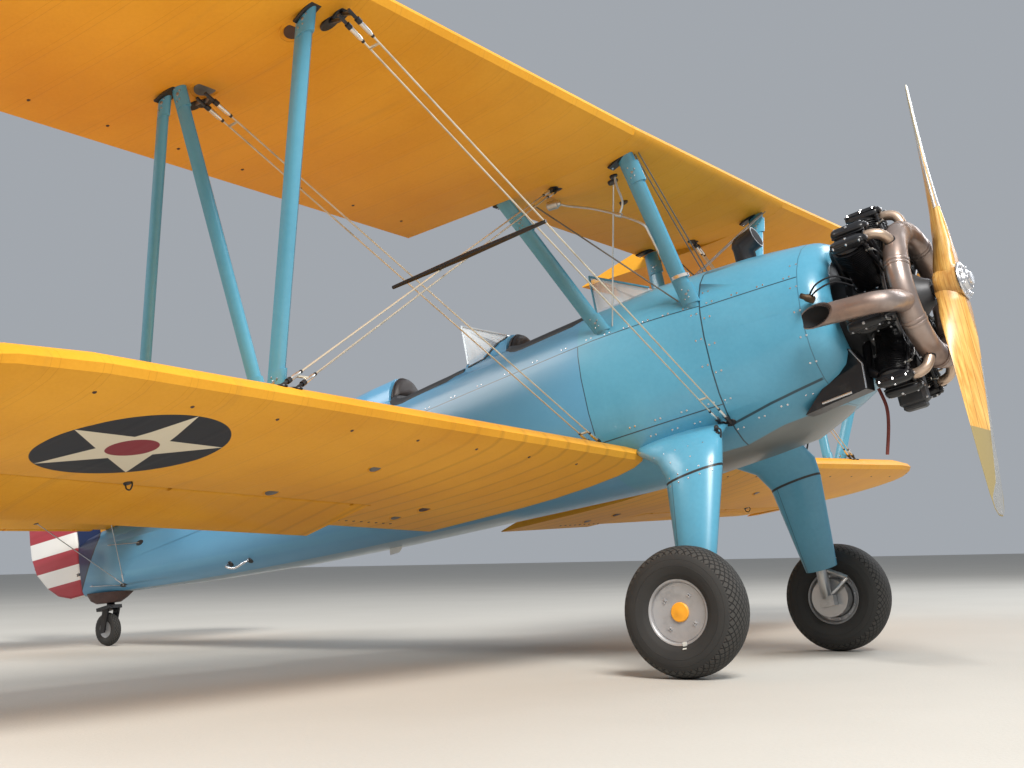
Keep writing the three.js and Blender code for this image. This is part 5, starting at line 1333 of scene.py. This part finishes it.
def stuffed(piece, cap):
    """Swells a closed pad by a cloth run, no point moving further than the cap."""
    scene = bpy.context.scene
    first = piece.modifiers.new("close_mesh", "REMESH")
    first.mode = "VOXEL"
    first.voxel_size = 0.006
    first.use_smooth_shade = True
    bpy.context.view_layer.update()
    seen = bpy.context.evaluated_depsgraph_get()
    even = bpy.data.meshes.new_from_object(piece.evaluated_get(seen))
    piece.modifiers.clear()
    even.materials.clear()
    even.materials.append(piece.data.materials[0])
    piece.data = even
    start = [vertex.co.copy() for vertex in even.vertices]
    cloth = piece.modifiers.new("swell", "CLOTH")
    cloth.settings.use_pressure = True
    cloth.settings.uniform_pressure_force = 4
    cloth.settings.effector_weights.gravity = 0
    for step in range(1, 21):
        scene.frame_set(step)
    seen = bpy.context.evaluated_depsgraph_get()
    swollen = piece.evaluated_get(seen).data
    moved = [vertex.co.copy() for vertex in swollen.vertices]
    piece.modifiers.clear()
    scene.frame_set(1)
    for vertex, old, new in zip(piece.data.vertices, start, moved):
        shift = new - old
        vertex.co = old + shift * min(1, cap / max(shift.length, 1e-6))
    for face in piece.data.polygons:
        face.use_smooth = True


leather = leather_finish()
for part in ("seat_front", "seat_rear"):
    skin_of(part, leather)
headrests = {
    "front": {"x": -2.605, "width": 0.158, "top": 0.584, "base": 0.34, "foot": 0.468},
    "rear": {"x": -3.545, "width": 0.155, "top": 0.593, "base": 0.34, "foot": 0.452},
}
for name, pad in headrests.items():
    cushion, welt = Draft(), Draft()

    def dome(scale, forward):
        """The outline of the pad, drawn in towards its middle and moved forward."""
        ring = []
        middle = 0.5 * (pad["foot"] + pad["top"])
        for i in range(37):
            a = math.pi * i / 36
            y = pad["width"] * math.cos(a)
            z = max(pad["base"] + (pad["top"] - pad["base"]) * math.sin(a) ** 0.8, pad["foot"])
            ring.append((pad["x"] + forward, y * scale, middle + (z - middle) * scale))
        return ring

    cushion.loft([dome(1.0, 0.004), dome(1.0, 0.022), dome(0.97, 0.038), dome(0.88, 0.049),
                  dome(0.7, 0.057), dome(0.4, 0.061), dome(0.05, 0.062)])
    crown = cushion.made(f"headrest_{name}_cushion", leather, "black_leather", sharp=180)
    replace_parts(crown, f"headrest_{name}")
    stuffed(crown, 0.006)
    welt.pipe(dome(1.03, 0.026), 0.004, 8, closed=True)
    welt.made(f"headrest_{name}_welt", leather, "black_leather", sharp=70)

# Seat cushions: a flat stuffed leather pad lies on each seat pan.
seat_pads = [
    {"name": "seat_front_cushion", "at": (-2.285, 0, -0.058), "size": (0.29, 0.325, 0.05)},
    {"name": "seat_rear_cushion", "at": (-3.22, 0, -0.048), "size": (0.29, 0.325, 0.05)},
]
for pad in seat_pads:
    cushion = Draft()
    length, width, deep = pad["size"]
    rings = []
    for share, inset in ((-0.5, 0.03), (-0.42, 0.008), (0, 0), (0.42, 0.008), (0.5, 0.03)):
        half_x, half_y = 0.5 * length - inset, 0.5 * width - inset
        rings.append([(pad["at"][0] + half_x * squared(math.cos(a), 0.35),
                       half_y * squared(math.sin(a), 0.35),
                       pad["at"][2] + share * deep) for a in angles(48, 0.5)])
    cushion.loft(rings)
    crown = cushion.made(pad["name"], leather, "black_leather", sharp=180)
    stuffed(crown, 0.012)


# Windshields: three flat panes of clear sheet each, in a metal edge that is painted blue on the
# front one and bare on the rear one, on a black seal along the fuselage.
def sheet_finish():
    start, place, _, close = surface("clear_sheet", roughness=0.05, IOR=1.45)
    smear = start.speckle(place, 4, detail=3).step(0.3, 0.8)
    return close((0.82, 0.87, 0.9), rough=0.06 + smear * 0.1, alpha=0.30 + smear * 0.12)


clear = sheet_finish()
for part in ("windshield_front", "windshield_rear"):
    skin_of(part, clear)
windshields = {
    "front": {"tip": (-1.58, 0.15, 0.522), "top": (-1.94, 0.15, 0.717), "foot": (-1.885, 0.262, 0.437)},
    "rear": {"tip": (-2.632, 0.06, 0.594), "top": (-2.89, 0.15, 0.727), "foot": (-2.822, 0.26, 0.442)},
}
seals = Draft()
for name, shape in windshields.items():
    edges = Draft()
    for side in (-1, 1):
        tip, top, foot = (Vector((x, side * y, z)) for x, y, z in shape.values())
        edges.pipe([tip, top], 0.0065, 10)
        edges.pipe([top, foot], 0.0065, 10)
        base = []
        for i in range(9):
            x, y = tip.x + (foot.x - tip.x) * i / 8, tip.y + (foot.y - tip.y) * i / 8
            at, _ = from_above(("fuselage_middle",), x, y)
            if at is not None and at.z > 0.3:
                base.append(at + Vector((0, side * 0.004, 0.002)))
        if len(base) > 2:
            seals.pipe(base, 0.0055, 8)
    edges.pipe([Vector(shape["top"]), Vector(shape["top"]) * Vector((1, -1, 1))], 0.006, 10)
    rim_paint = enamel
    if name == "rear":
        rim_paint = steel_finish("frame_alloy", (0.7, 0.74, 0.76), 0.35, stain=0.2)
    edges.made(f"windshield_{name}_edges", rim_paint, "bare_metal")
seals.made("windshield_seals", black, "black_leather")

bpy.context.view_layer.update()
boxes = {"cad": cad_box, "visual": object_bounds()}
{k: [list(corner) for corner in v] for k, v in boxes.items()}
